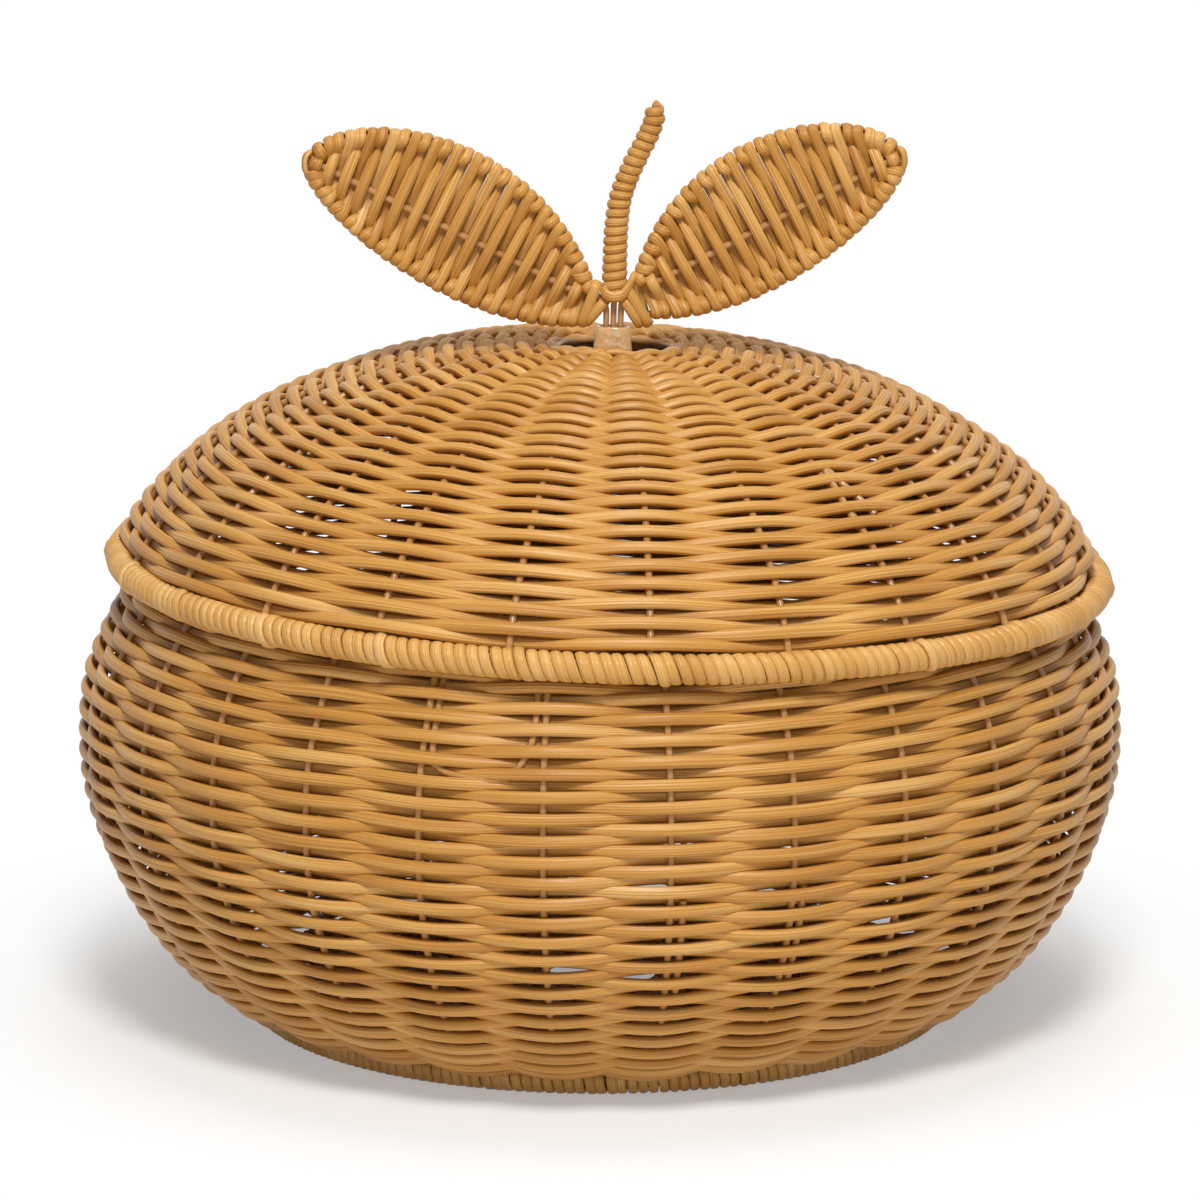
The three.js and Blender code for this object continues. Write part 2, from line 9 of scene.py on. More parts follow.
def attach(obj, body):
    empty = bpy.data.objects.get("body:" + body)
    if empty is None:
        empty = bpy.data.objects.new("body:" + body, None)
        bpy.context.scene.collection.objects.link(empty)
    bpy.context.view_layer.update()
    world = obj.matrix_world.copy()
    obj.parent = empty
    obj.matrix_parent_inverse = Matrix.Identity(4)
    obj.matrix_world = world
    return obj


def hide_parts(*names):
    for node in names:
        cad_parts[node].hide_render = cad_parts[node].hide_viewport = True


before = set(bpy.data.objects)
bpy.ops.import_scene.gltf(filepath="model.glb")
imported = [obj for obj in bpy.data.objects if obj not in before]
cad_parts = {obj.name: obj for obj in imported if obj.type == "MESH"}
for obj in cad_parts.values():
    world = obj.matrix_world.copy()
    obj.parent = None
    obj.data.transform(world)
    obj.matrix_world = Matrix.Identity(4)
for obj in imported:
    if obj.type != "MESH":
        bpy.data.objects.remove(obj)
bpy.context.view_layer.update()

mm = 0.001

# Strand and wire. A woven strand is fuller than a bound one, and gives where it passes a stake.
strand_width = 3.45 * mm
strand_thickness = 2.2 * mm
strand_flatness = 0.8
strand_sides = 10
weave_thickness = 2.6 * mm
weave_give = 0.55 * mm
weave_steps = 10
stake_wire = 2.1 * mm
wire_sides = 8
clearance = 0.3 * mm
wall_thickness = stake_wire + 2 * strand_thickness

# Body
body_radius = 150 * mm
belly_height = 78 * mm
body_stakes = 27
body_turn = radians(7.4)
body_rows = 50
body_row_wander = 0.8 * mm
shoulder_centre_height = 43 * mm
shoulder_start_angle = radians(23.44)
floor_rows = 25
floor_row_wander = 0.6 * mm
floor_steps = 6

# Foot and mouth rings of the body
foot_ring_radius = 99 * mm
foot_wire = 4 * mm
foot_ring_height = 3.846 * mm
mouth_wire = 3.4 * mm
mouth_gap = 2 * mm

# Lid
lid_rim_radius = 139.9 * mm
lid_seat_angle = radians(31.69)
lid_rim_wire = 5.1 * mm
lid_dome_height = 62 * mm
lid_stakes = 23
lid_turn = radians(4.4)
lid_tilt = radians(1.8)
lid_rows = 48
lid_row_wander = 0.7 * mm
centre_ring_radius = 17 * mm

# Strand bound round the rings. The rim's rises over the ends of the lid's stakes.
turn_spacing = 3.25 * mm
turn_steps = 12
bound_width = 3.2 * mm
bound_thickness = 2 * mm
bound_flatness = 0.72
bound_slip = 0.9 * mm
foot_turn_spacing = 2.85 * mm
foot_lift = 0.1 * mm
mouth_turn_lean = 0.4 * mm
rim_bound_radius = 4.3 * mm
rim_turn_lean = 0.8 * mm
rim_rise = 0.6 * mm
rim_rise_turn = lid_turn + radians(1.6)

# Hub
hub_width_below = 13.2 * mm
hub_width_above = 10.4 * mm
hub_neck_share = 0.92
hub_depth = 6.4 * mm
hub_rise = 8.5 * mm
hub_drop = 3 * mm
hub_offset = -1.2 * mm
twig_wire = 1.75 * mm

# Stem. Its bends are ways aside from its foot and heights over the hub's top, in millimetres.
stem_winding_start = 9.1 * mm
stem_bends = [(-0.1, 26), (0.9, 37), (4.0, 46), (7.3, 53), (9.3, 58), (10.3, 63.5)]
stem_width_below = 7.5 * mm
stem_width_above = 6.1 * mm
stem_turns = 22
stem_turn_steps = 16
stem_strand_width = 2.75 * mm
stem_strand_thickness = 1.9 * mm
stem_strand_flatness = 0.9
stem_strand_sides = 8
stem_slip = 0.35 * mm

# Leaves
leaf_wire = 1.75 * mm
leaf_strand_width = 3.2 * mm
leaf_strand_thickness = 2 * mm
leaf_pair_length = 5.9 * mm
midrib_wire = 2.1 * mm
midrib_ease = 0.3 * mm
left_leaf = {"side": -1, "length": 92.6 * mm, "seat": 6.7 * mm, "rise": radians(24.9)}
right_leaf = {"side": 1, "length": 87.2 * mm, "seat": 9.2 * mm, "rise": radians(29.6)}
leaf_upper_edge = {"base": 1.8 * mm, "base_handle": 38.5 * mm, "tip_handle": 21.1 * mm}
leaf_lower_edge = {"base": 7.7 * mm, "base_handle": 27.3 * mm, "tip_handle": 13.2 * mm}
leaf_base_handle_share = 0.35
leaf_tip_handle_share = 0.985

# Shares of a span that place the handles of the curves
foot_handle_share = 0.41
belly_handle_share = 0.43
upper_handle_share = 0.33
dome_rim_handle_share = 0.66
dome_top_handle_share = 0.386
dome_rim_angle = radians(68.9)


def linear(hex_colour):
    """The linear colour of an sRGB hex value."""
    channels = [int(hex_colour[i:i + 2], 16) / 255 for i in (1, 3, 5)]
    return [c / 12.92 if c <= 0.04045 else ((c + 0.055) / 1.055) ** 2.4 for c in channels] + [1.0]


# The kinds of node that do arithmetic
MATH = "ShaderNodeMath"
VECTOR_MATH = "ShaderNodeVectorMath"


def add(tree, kind, inputs=None, operation=None, **settings):
    """Adds a node with its settings, and its input values or links. Returns its first output."""
    node = tree.nodes.new(kind)
    if operation:
        node.operation = operation
    for name, value in settings.items():
        setattr(node, name, value)
    for key, value in (inputs or {}).items():
        if isinstance(value, bpy.types.NodeSocket):
            tree.links.new(value, node.inputs[key])
        else:
            node.inputs[key].default_value = value
    outputs = [socket for socket in node.outputs if socket.enabled]
    return outputs[0] if outputs else node


def in_scene(name, data):
    """A new object in the scene."""
    thing = bpy.data.objects.new(name, data)
    bpy.context.scene.collection.objects.link(thing)
    return thing


# Camera, as fitted to the outline of the basket in the photo

eye_height = 100 * mm
eye_distance = 1.8
eye_elevation = radians(12.51)
aim_below_horizon = radians(11.94)
film_width = 36
focal_length = 187.65

camera = in_scene("camera", bpy.data.cameras.new("camera"))
camera.location = (0, -eye_distance * cos(eye_elevation), eye_height + eye_distance * sin(eye_elevation))
camera.rotation_euler = (pi / 2 - aim_below_horizon, 0, 0)
camera.data.sensor_width = film_width
camera.data.lens = focal_length
bpy.context.scene.camera = camera
bpy.context.scene.view_settings.view_transform = "Standard"

# Light


def softbox(name, place, side, watts):
    """A square area lamp that faces the middle of the basket."""
    lamp = bpy.data.lights.new(name, "AREA")
    lamp.size = side
    lamp.energy = watts
    holder = in_scene(name, lamp)
    holder.location = place
    towards = Vector((0, 0, belly_height)) - Vector(place)
    holder.rotation_euler = towards.to_track_quat("-Z", "Y").to_euler()


softbox("key softbox", place=(0.05, -1.2, 1.68), side=0.42, watts=30)
softbox("top softbox", place=(0.1, 0.1, 1.95), side=0.8, watts=11)
softbox("fill softbox", place=(0.2, -1.9, 0.2), side=0.9, watts=5.5)


def looks_at_white(tree):
    """1 for rays that show what is white, straight, in a gloss or through something, and else 0."""
    rays = add(tree, "ShaderNodeLightPath").node.outputs
    shows = add(tree, MATH, {0: rays["Is Camera Ray"], 1: rays["Is Glossy Ray"]}, "MAXIMUM")
    return add(tree, MATH, {0: shows, 1: rays["Is Transmission Ray"]}, "MAXIMUM")


def white_studio():
    """A white room that shows pure white, and lights the basket only faintly."""
    world = bpy.data.worlds.new("studio")
    world.use_nodes = True
    tree = world.node_tree
    tree.nodes.clear()
    faint = add(tree, "ShaderNodeBackground", {"Color": linear("#FFFFFF"), "Strength": 0.13})
    white = add(tree, "ShaderNodeBackground", {"Color": linear("#FFFFFF"), "Strength": 1.0})
    shown = add(tree, "ShaderNodeMixShader", {0: looks_at_white(tree), 1: faint, 2: white})
    add(tree, "ShaderNodeOutputWorld", {"Surface": shown})
    return world


bpy.context.scene.world = white_studio()

# Materials


def material(name):
    """A new material, its tree, its Principled shader and its output, ready for nodes."""
    made = bpy.data.materials.new(name)
    made.use_nodes = True
    tree = made.node_tree
    tree.nodes.clear()
    shader = add(tree, "ShaderNodeBsdfPrincipled").node
    output = add(tree, "ShaderNodeOutputMaterial", {"Surface": shader.outputs[0]})
    return made, tree, shader, output


def extruded_cane(name, deep, middle, pale, tone_seed):
    """Polyethylene cane: an extruded satin strand with fine grooves and streaks along it."""
    made, tree, shader, _ = material(name)
    across = add(tree, "ShaderNodeAttribute", attribute_name="across").node.outputs["Fac"]
    along = add(tree, "ShaderNodeAttribute", attribute_name="along").node.outputs["Fac"]
    streak_length = 70 * mm
    streaks_on_half = 4.5
    streak_at = add(tree, "ShaderNodeCombineXYZ", {
        0: add(tree, MATH, {0: along, 1: 1 / streak_length}, "MULTIPLY"),
        1: add(tree, MATH, {0: across, 1: streaks_on_half}, "MULTIPLY"),
        2: tone_seed,
    })
    streaks = add(tree, "ShaderNodeTexNoise",
                  {"Vector": streak_at, "Scale": 1.0, "Detail": 3.0, "Roughness": 0.65})
    # Batches of extruded cane differ a little in tone over lengths of a few centimetres.
    batch_length = 90 * mm
    batch_share = 0.3
    batch_at = add(tree, MATH, {0: along, 1: 1 / batch_length}, "MULTIPLY")
    batch = add(tree, "ShaderNodeTexNoise", {"W": batch_at, "Scale": 1.0, "Detail": 1.0},
                noise_dimensions="1D")
    mixed = add(tree, MATH, {0: streaks, 1: 1 - batch_share}, "MULTIPLY")
    mixed = add(tree, MATH, {0: batch, 1: batch_share, 2: mixed}, "MULTIPLY_ADD")
    ramp = add(tree, "ShaderNodeValToRGB", {"Fac": mixed}).node
    ramp.color_ramp.elements[0].position = 0.33
    ramp.color_ramp.elements[0].color = linear(deep)
    ramp.color_ramp.elements[1].position = 0.66
    ramp.color_ramp.elements[1].color = linear(pale)
    centre = ramp.color_ramp.elements.new(0.5)
    centre.color = linear(middle)
    tree.links.new(ramp.outputs["Color"], shader.inputs["Base Color"])
    # Grooves of the extruder's die, just under a millimetre apart, as coarse as they have to be to show.
    grooves_on_half = 2
    groove_depth = 0.05 * mm
    phase = add(tree, MATH, {0: across, 1: 2 * pi * grooves_on_half}, "MULTIPLY")
    wave = add(tree, MATH, {0: phase}, "COSINE")
    height = add(tree, MATH, {0: streaks, 1: 2.5, 2: wave}, "MULTIPLY_ADD")
    bump = add(tree, "ShaderNodeBump", {"Height": height, "Distance": groove_depth, "Strength": 0.7})
    tree.links.new(bump, shader.inputs["Normal"])
    tree.links.new(bump, shader.inputs["Coat Normal"])
    rough = add(tree, "ShaderNodeMapRange", {"Value": streaks, "To Min": 0.5, "To Max": 0.6})
    tree.links.new(rough, shader.inputs["Roughness"])
    # The gloss is the strand's outer skin; under it the colour lies deep and dull.
    shader.inputs["Specular IOR Level"].default_value = 0.05
    shader.inputs["Coat Weight"].default_value = 0.5
    shader.inputs["Coat Roughness"].default_value = 0.34
    shader.inputs["Coat IOR"].default_value = 1.52
    return made


def glossy_skin(name, deep, pale, patch_size, patch_detail, lump_size, lump_detail, lump_height,
                lump_strength, roughness):
    """A glossy plastic in patches of two tones, with a relief of lumps. Returns it and its shader."""
    made, tree, shader, _ = material(name)
    place = add(tree, "ShaderNodeTexCoord").node.outputs["Object"]
    patches = add(tree, "ShaderNodeTexNoise",
                  {"Vector": place, "Scale": 1 / patch_size, "Detail": patch_detail})
    tone = add(tree, "ShaderNodeMix", {0: patches, 6: linear(deep), 7: linear(pale)}, data_type="RGBA")
    tree.links.new(tone, shader.inputs["Base Color"])
    lumps = add(tree, "ShaderNodeTexNoise", {"Vector": place, "Scale": 1 / lump_size, "Detail": lump_detail})
    bump = add(tree, "ShaderNodeBump", {"Height": lumps, "Distance": lump_height, "Strength": lump_strength})
    tree.links.new(bump, shader.inputs["Normal"])
    rough = add(tree, "ShaderNodeMapRange",
                {"Value": patches, "To Min": roughness[0], "To Max": roughness[1]})
    tree.links.new(rough, shader.inputs["Roughness"])
    return made, shader


def coated_steel_wire():
    """PVC-coated steel wire: a smooth glossy skin that is slightly uneven, pinkish tan."""
    made, shader = glossy_skin(
        "coated steel wire", "#A8733C", "#C9985C", patch_size=12 * mm, patch_detail=2.0,
        lump_size=1.5 * mm, lump_detail=2.0, lump_height=0.05 * mm, lump_strength=0.5,
        roughness=(0.12, 0.22),
    )
    shader.inputs["Specular IOR Level"].default_value = 0.3
    return made


def hot_melt_resin():
    """Hot-melt resin: poured round the wires, glossy and faintly translucent, with a lumpy skin."""
    made, shader = glossy_skin(
        "hot-melt resin", "#B98A4E", "#DDBB84", patch_size=3 * mm, patch_detail=3.0,
        lump_size=1.8 * mm, lump_detail=1.0, lump_height=0.35 * mm, lump_strength=0.8,
        roughness=(0.08, 0.16),
    )
    shader.inputs["Subsurface Weight"].default_value = 0.25
    shader.inputs["Subsurface Radius"].default_value = (2 * mm, 1.2 * mm, 0.6 * mm)
    shader.inputs["Subsurface Scale"].default_value = 1.0
    return made


def seamless_paper():
    """Pale seamless paper. The camera sees it pure white beyond the basket's shadow; nearer, a painted glow
    lightens the shadow.
    """
    made, tree, shader, output = material("seamless paper")
    fibre_scale = 60.0
    shade_from = 110 * mm
    shade_to = 260 * mm
    place = add(tree, "ShaderNodeTexCoord").node.outputs["Object"]
    fibres = add(tree, "ShaderNodeTexNoise", {"Vector": place, "Scale": fibre_scale, "Detail": 3.0})
    tone = add(tree, "ShaderNodeMix", {0: fibres, 6: linear("#F6F5F3"), 7: linear("#FBFAF8")},
               data_type="RGBA")
    tree.links.new(tone, shader.inputs["Base Color"])
    shader.inputs["Roughness"].default_value = 0.9
    away = add(tree, VECTOR_MATH, {0: place}, "LENGTH").node.outputs["Value"]
    # Painted light: near the basket the camera sees 0.35 white glow over the lit paper, which lightens the
    # basket's shadow; far off the glow is pure white.
    bare = add(tree, "ShaderNodeMapRange",
               {"Value": away, "From Min": shade_from, "From Max": shade_to, "To Min": 0.35, "To Max": 1.0},
               interpolation_type="SMOOTHSTEP")
    bare = add(tree, MATH, {0: bare, 1: looks_at_white(tree)}, "MULTIPLY")
    glow = add(tree, "ShaderNodeEmission", {"Color": linear("#FFFFFF"), "Strength": 1.0})
    whole = add(tree, "ShaderNodeMixShader", {0: bare, 1: shader.outputs[0], 2: glow})
    tree.links.new(whole, output.inputs["Surface"])
    return made


woven_cane = extruded_cane("polyethylene cane, woven", "#A66E2D", "#C58D40", "#DDB16D", 0.0)
bound_cane = extruded_cane("polyethylene cane, bound round rings", "#B9833F", "#D09D52", "#E0B574", 7.0)
coated_wire = coated_steel_wire()
hot_melt = hot_melt_resin()
paper = seamless_paper()

# Geometry Nodes trees that make strand and wire

STRAND = {
    "Width": "Float", "Thickness": "Float", "Flatness": "Float", "Sides": "Int", "Material": "Material",
}


def new_tree(name, sockets):
    """A Geometry Nodes tree with a geometry in and out, and named inputs. Returns it and its inputs."""
    tree = bpy.data.node_groups.new(name, "GeometryNodeTree")
    tree.interface.new_socket("Geometry", in_out="OUTPUT", socket_type="NodeSocketGeometry")
    for socket, unit in {"Geometry": "Geometry", **sockets}.items():
        tree.interface.new_socket(socket, in_out="INPUT", socket_type=f"NodeSocket{unit}")
    return tree, add(tree, "NodeGroupInput").node.outputs


def end_tree(tree, given, geometry):
    """Ends a tree with its geometry made real and in its material."""
    whole = add(tree, "GeometryNodeRealizeInstances", {"Geometry": geometry})
    whole = add(tree, "GeometryNodeSetMaterial", {"Geometry": whole, "Material": given["Material"]})
    add(tree, "NodeGroupOutput", {"Geometry": whole})


# Sweeps an oval strand along a curve, with its flat side towards a direction. It keeps how far along
# the strand and across it each point lies, for the streaks and grooves of the cane.
strand, given = new_tree("lay strand", {"Away": "Vector", **STRAND})
tangent = add(strand, "GeometryNodeInputTangent")
lean = add(strand, VECTOR_MATH, {0: given["Away"], 1: tangent}, "DOT_PRODUCT").node.outputs["Value"]
level = add(strand, VECTOR_MATH, {0: tangent, "Scale": lean}, "SCALE")
square = add(strand, VECTOR_MATH, {0: given["Away"], 1: level}, "SUBTRACT")
square = add(strand, VECTOR_MATH, {0: square}, "NORMALIZE")
turned = add(strand, "GeometryNodeSetCurveNormal", {"Curve": given["Geometry"], "Normal": square},
             mode="FREE")
run = add(strand, "GeometryNodeSplineParameter").node.outputs["Length"]
turned = add(strand, "GeometryNodeStoreNamedAttribute",
             {"Geometry": turned, "Name": "along", "Value": run}, data_type="FLOAT", domain="POINT")
oval = add(strand, "GeometryNodeCurvePrimitiveCircle", {"Resolution": given["Sides"], "Radius": 1.0},
           mode="RADIUS")
spot = add(strand, "ShaderNodeSeparateXYZ", {0: add(strand, "GeometryNodeInputPosition")}).node.outputs
oval = add(strand, "GeometryNodeStoreNamedAttribute",
           {"Geometry": oval, "Name": "across", "Value": spot["Y"]}, data_type="FLOAT", domain="POINT")
half_thick = add(strand, MATH, {0: given["Thickness"], 1: 0.5}, "MULTIPLY")
half_wide = add(strand, MATH, {0: given["Width"], 1: 0.5}, "MULTIPLY")
bulge = add(strand, MATH, {0: spot["X"]}, "ABSOLUTE")
bulge = add(strand, MATH, {0: bulge, 1: given["Flatness"]}, "POWER")
bulge = add(strand, MATH, {0: bulge, 1: half_thick}, "MULTIPLY")
facing = add(strand, MATH, {0: spot["X"]}, "SIGN")
shape = add(strand, "ShaderNodeCombineXYZ", {
    0: add(strand, MATH, {0: bulge, 1: facing}, "MULTIPLY"),
    1: add(strand, MATH, {0: spot["Y"], 1: half_wide}, "MULTIPLY"),
})
oval = add(strand, "GeometryNodeSetPosition", {"Geometry": oval, "Position": shape})
swept = add(strand, "GeometryNodeCurveToMesh", {"Curve": turned, "Profile Curve": oval, "Fill Caps": True})
swept = add(strand, "GeometryNodeSetShadeSmooth", {"Geometry": swept, "Shade Smooth": True})
end_tree(strand, given, swept)


def laid(tree, given, curve, away):
    """A strand laid along a curve, with its flat side towards a direction."""
    node = add(tree, "GeometryNodeGroup", node_tree=strand).node
    tree.links.new(curve, node.inputs["Geometry"])
    tree.links.new(away, node.inputs["Away"])
    for name in STRAND:
        tree.links.new(given[name], node.inputs[name])
    return node.outputs["Geometry"]


# Plain weave: one strand spirals along a meridian, in front of one stake and behind the next. The
# number of stakes is odd, so that each row passes them the other way round. Rows wander up and down,
# in part together with their neighbours and in part alone.
drift_length = 45 * mm
drift_weight = 2.0
own_weight = 0.4
own_per_stake = 0.8
weave, given = new_tree("plain weave", {
    "Stakes": "Int", "Turn": "Float", "Start": "Float", "Pitch": "Float", "First Row": "Float",
    "Rows": "Float", "Steps": "Int", "Swing": "Float", "Wander": "Float", "Seed": "Float", **STRAND,
})
spans = add(weave, MATH, {0: given["Rows"], 1: given["Stakes"]}, "MULTIPLY")
count = add(weave, MATH, {0: spans, 1: given["Steps"], 2: 1.0}, "MULTIPLY_ADD")
line = add(weave, "GeometryNodeCurvePrimitiveLine", mode="POINTS")
line = add(weave, "GeometryNodeResampleCurve", {"Curve": line, "Count": count}, mode="COUNT")
index = add(weave, "GeometryNodeInputIndex")
passed = add(weave, MATH, {0: index, 1: given["Steps"]}, "DIVIDE")
before = add(weave, MATH, {0: given["First Row"], 1: given["Stakes"]}, "MULTIPLY")
passed = add(weave, MATH, {0: passed, 1: before}, "ADD")
row = add(weave, MATH, {0: passed, 1: given["Stakes"]}, "DIVIDE")
angle = add(weave, MATH, {0: row, 1: 2 * pi, 2: given["Turn"]}, "MULTIPLY_ADD")
way = add(weave, MATH, {0: row, 1: given["Pitch"], 2: given["Start"]}, "MULTIPLY_ADD")
meridian = add(weave, "GeometryNodeMeshToCurve", {"Mesh": given["Geometry"]})
sample = add(weave, "GeometryNodeSampleCurve", {"Curves": meridian, "Length": way}, mode="LENGTH").node
spin = {"Axis": (0, 0, 1), "Angle": angle}
place = add(weave, "ShaderNodeVectorRotate", {0: sample.outputs["Position"], **spin})
upward = add(weave, "ShaderNodeVectorRotate", {0: sample.outputs["Tangent"], **spin})
sideways = add(weave, "ShaderNodeVectorRotate", {0: (1, 0, 0), **spin})
outward = add(weave, VECTOR_MATH, {0: sideways, 1: upward}, "CROSS_PRODUCT")
side = add(weave, MATH, {0: passed, 1: pi}, "MULTIPLY")
side = add(weave, MATH, {0: side}, "COSINE")
swing = add(weave, MATH, {0: side, 1: given["Swing"]}, "MULTIPLY")
seeded = add(weave, "ShaderNodeCombineXYZ", {0: given["Seed"], 1: given["Seed"], 2: given["Seed"]})
drift = add(weave, VECTOR_MATH, {0: place, 1: seeded}, "ADD")
drift = add(weave, "ShaderNodeTexNoise", {"Vector": drift, "Scale": 1 / drift_length, "Detail": 0.0})
own = add(weave, MATH, {0: passed, 1: given["Seed"]}, "ADD")
own = add(weave, "ShaderNodeTexNoise", {"W": own, "Scale": own_per_stake, "Detail": 1.0},
          noise_dimensions="1D")
own = add(weave, MATH, {0: own, 1: own_weight}, "MULTIPLY")
both = add(weave, MATH, {0: drift, 1: drift_weight, 2: own}, "MULTIPLY_ADD")
both = add(weave, MATH, {0: both, 1: (drift_weight + own_weight) / 2}, "SUBTRACT")
shift = add(weave, MATH, {0: both, 1: given["Wander"]}, "MULTIPLY")
swung = add(weave, VECTOR_MATH, {0: outward, "Scale": swing}, "SCALE")
shifted = add(weave, VECTOR_MATH, {0: upward, "Scale": shift}, "SCALE")
moved = add(weave, VECTOR_MATH, {0: swung, 1: shifted}, "ADD")
moved = add(weave, VECTOR_MATH, {0: place, 1: moved}, "ADD")
line = add(weave, "GeometryNodeSetPosition", {"Geometry": line, "Position": moved})
end_tree(weave, given, laid(weave, given, line, outward))

# A strand wound round a wire in close turns, which slip a little along it here and there and lie
# slightly more or less tight.
slips_per_turn = 0.7
slackness = 0.2 * mm
winding, given = new_tree("winding", {
    "Turns": "Float", "Steps": "Int", "Radius Start": "Float", "Radius End": "Float",
    "Reference": "Vector", "Lean": "Float", "Stakes": "Int", "First Stake": "Float", "Rise": "Float",
    "Closed End": "Float", "Slip": "Float", "Seed": "Float", **STRAND,
})
count = add(winding, MATH, {0: given["Turns"], 1: given["Steps"], 2: 1.0}, "MULTIPLY_ADD")
line = add(winding, "GeometryNodeCurvePrimitiveLine", mode="POINTS")
line = add(winding, "GeometryNodeResampleCurve", {"Curve": line, "Count": count}, mode="COUNT")
index = add(winding, "GeometryNodeInputIndex")
turn = add(winding, MATH, {0: index, 1: given["Steps"]}, "DIVIDE")
share = add(winding, MATH, {0: turn, 1: given["Turns"]}, "DIVIDE")
wobble = add(winding, MATH, {0: turn, 1: given["Seed"]}, "ADD")
wobble = add(winding, "ShaderNodeTexNoise", {"W": wobble, "Scale": slips_per_turn, "Detail": 1.0},
             noise_dimensions="1D")
wobble = add(winding, MATH, {0: wobble, 1: 0.5}, "SUBTRACT")
slip = add(winding, MATH, {0: wobble, 1: given["Slip"]}, "MULTIPLY")
angle = add(winding, MATH, {0: turn, 1: 2 * pi}, "MULTIPLY")
cosine = add(winding, MATH, {0: angle}, "COSINE")
sine = add(winding, MATH, {0: angle}, "SINE")
slip = add(winding, MATH, {0: sine, 1: given["Lean"], 2: slip}, "MULTIPLY_ADD")
# How near a turn is to a stake: 1 over the stake, and 0 once it is this many turns away.
turns_to_clear = 0.9
at_stake = add(winding, MATH, {0: share, 1: given["Stakes"], 2: given["First Stake"]}, "MULTIPLY_ADD")
off_stake = add(winding, MATH, {0: at_stake, 1: 0.5}, "PINGPONG")
off_stake = add(winding, MATH, {0: off_stake, 1: given["Turns"]}, "MULTIPLY")
off_stake = add(winding, MATH, {0: off_stake, 1: given["Stakes"]}, "DIVIDE")
over_stake = add(winding, "ShaderNodeMapRange",
                 {"Value": off_stake, "From Max": turns_to_clear, "To Min": 1.0, "To Max": 0.0},
                 interpolation_type="SMOOTHSTEP")
core = add(winding, "GeometryNodeMeshToCurve", {"Mesh": given["Geometry"]})
length = add(winding, "GeometryNodeCurveLength", {"Curve": core})
way = add(winding, MATH, {0: share, 1: length, 2: slip}, "MULTIPLY_ADD")
sample = add(winding, "GeometryNodeSampleCurve", {"Curves": core, "Length": way}, mode="LENGTH").node
first = add(winding, VECTOR_MATH, {0: sample.outputs["Tangent"], 1: given["Reference"]}, "CROSS_PRODUCT")
first = add(winding, VECTOR_MATH, {0: first}, "NORMALIZE")
second = add(winding, VECTOR_MATH, {0: sample.outputs["Tangent"], 1: first}, "CROSS_PRODUCT")
aside = add(winding, VECTOR_MATH, {0: first, "Scale": cosine}, "SCALE")
above = add(winding, VECTOR_MATH, {0: second, "Scale": sine}, "SCALE")
away = add(winding, VECTOR_MATH, {0: aside, 1: above}, "ADD")
reach = add(winding, "ShaderNodeMapRange",
            {"Value": share, "To Min": given["Radius Start"], "To Max": given["Radius End"]})
reach = add(winding, MATH, {0: wobble, 1: slackness, 2: reach}, "MULTIPLY_ADD")
reach = add(winding, MATH, {0: over_stake, 1: given["Rise"], 2: reach}, "MULTIPLY_ADD")
# A closed end draws the last turn in to the middle, as a cap.
left = add(winding, MATH, {0: given["Turns"], 1: turn}, "SUBTRACT")
open_end = add(winding, MATH, {0: 1.0, 1: given["Closed End"]}, "SUBTRACT")
drawn = add(winding, MATH, {0: left, 1: open_end}, "ADD")
drawn = add(winding, MATH, {0: drawn, 1: 1.0}, "MINIMUM")
reach = add(winding, MATH, {0: reach, 1: drawn}, "MULTIPLY")
out = add(winding, VECTOR_MATH, {0: away, "Scale": reach}, "SCALE")
place = add(winding, VECTOR_MATH, {0: sample.outputs["Position"], 1: out}, "ADD")
line = add(winding, "GeometryNodeSetPosition", {"Geometry": line, "Position": place})
end_tree(winding, given, laid(winding, given, line, away))

# A strand or wire through given points, smoothed between them, and set round in a circle if asked.
route, given = new_tree("run through points", {
    "Smoothness": "Int", "Copies": "Int", "Turn": "Float", **STRAND,
})
line = add(route, "GeometryNodeMeshToCurve", {"Mesh": given["Geometry"]})
line = add(route, "GeometryNodeCurveSplineType", {"Curve": line}, spline_type="CATMULL_ROM")
line = add(route, "GeometryNodeSetSplineResolution", {"Geometry": line, "Resolution": given["Smoothness"]})
line = add(route, "GeometryNodeResampleCurve", {"Curve": line}, mode="EVALUATED")
away = add(route, "GeometryNodeInputNamedAttribute", {"Name": "away"}, data_type="FLOAT_VECTOR")
spots = add(route, "GeometryNodePoints", {"Count": given["Copies"], "Position": (0, 0, 0)})
share = add(route, MATH, {0: add(route, "GeometryNodeInputIndex"), 1: given["Copies"]}, "DIVIDE")
angle = add(route, MATH, {0: share, 1: 2 * pi, 2: given["Turn"]}, "MULTIPLY_ADD")
turned = add(route, "ShaderNodeCombineXYZ", {2: angle})
set_round = add(route, "GeometryNodeInstanceOnPoints",
                {"Points": spots, "Instance": laid(route, given, line, away), "Rotation": turned})
end_tree(route, given, set_round)

# Making pieces


def chain(points, aways=None, closed=False):
    """A chain of edges through points. aways are the directions that a strand's flat side faces."""
    mesh = bpy.data.meshes.new("chain")
    edges = [(i, i + 1) for i in range(len(points) - 1)]
    if closed:
        edges.append((len(points) - 1, 0))
    mesh.from_pydata(points, edges, [])
    facing = mesh.attributes.new("away", "FLOAT_VECTOR", "POINT")
    for i, direction in enumerate(aways or [(1, 0, 0)] * len(points)):
        facing.data[i].vector = direction
    return mesh


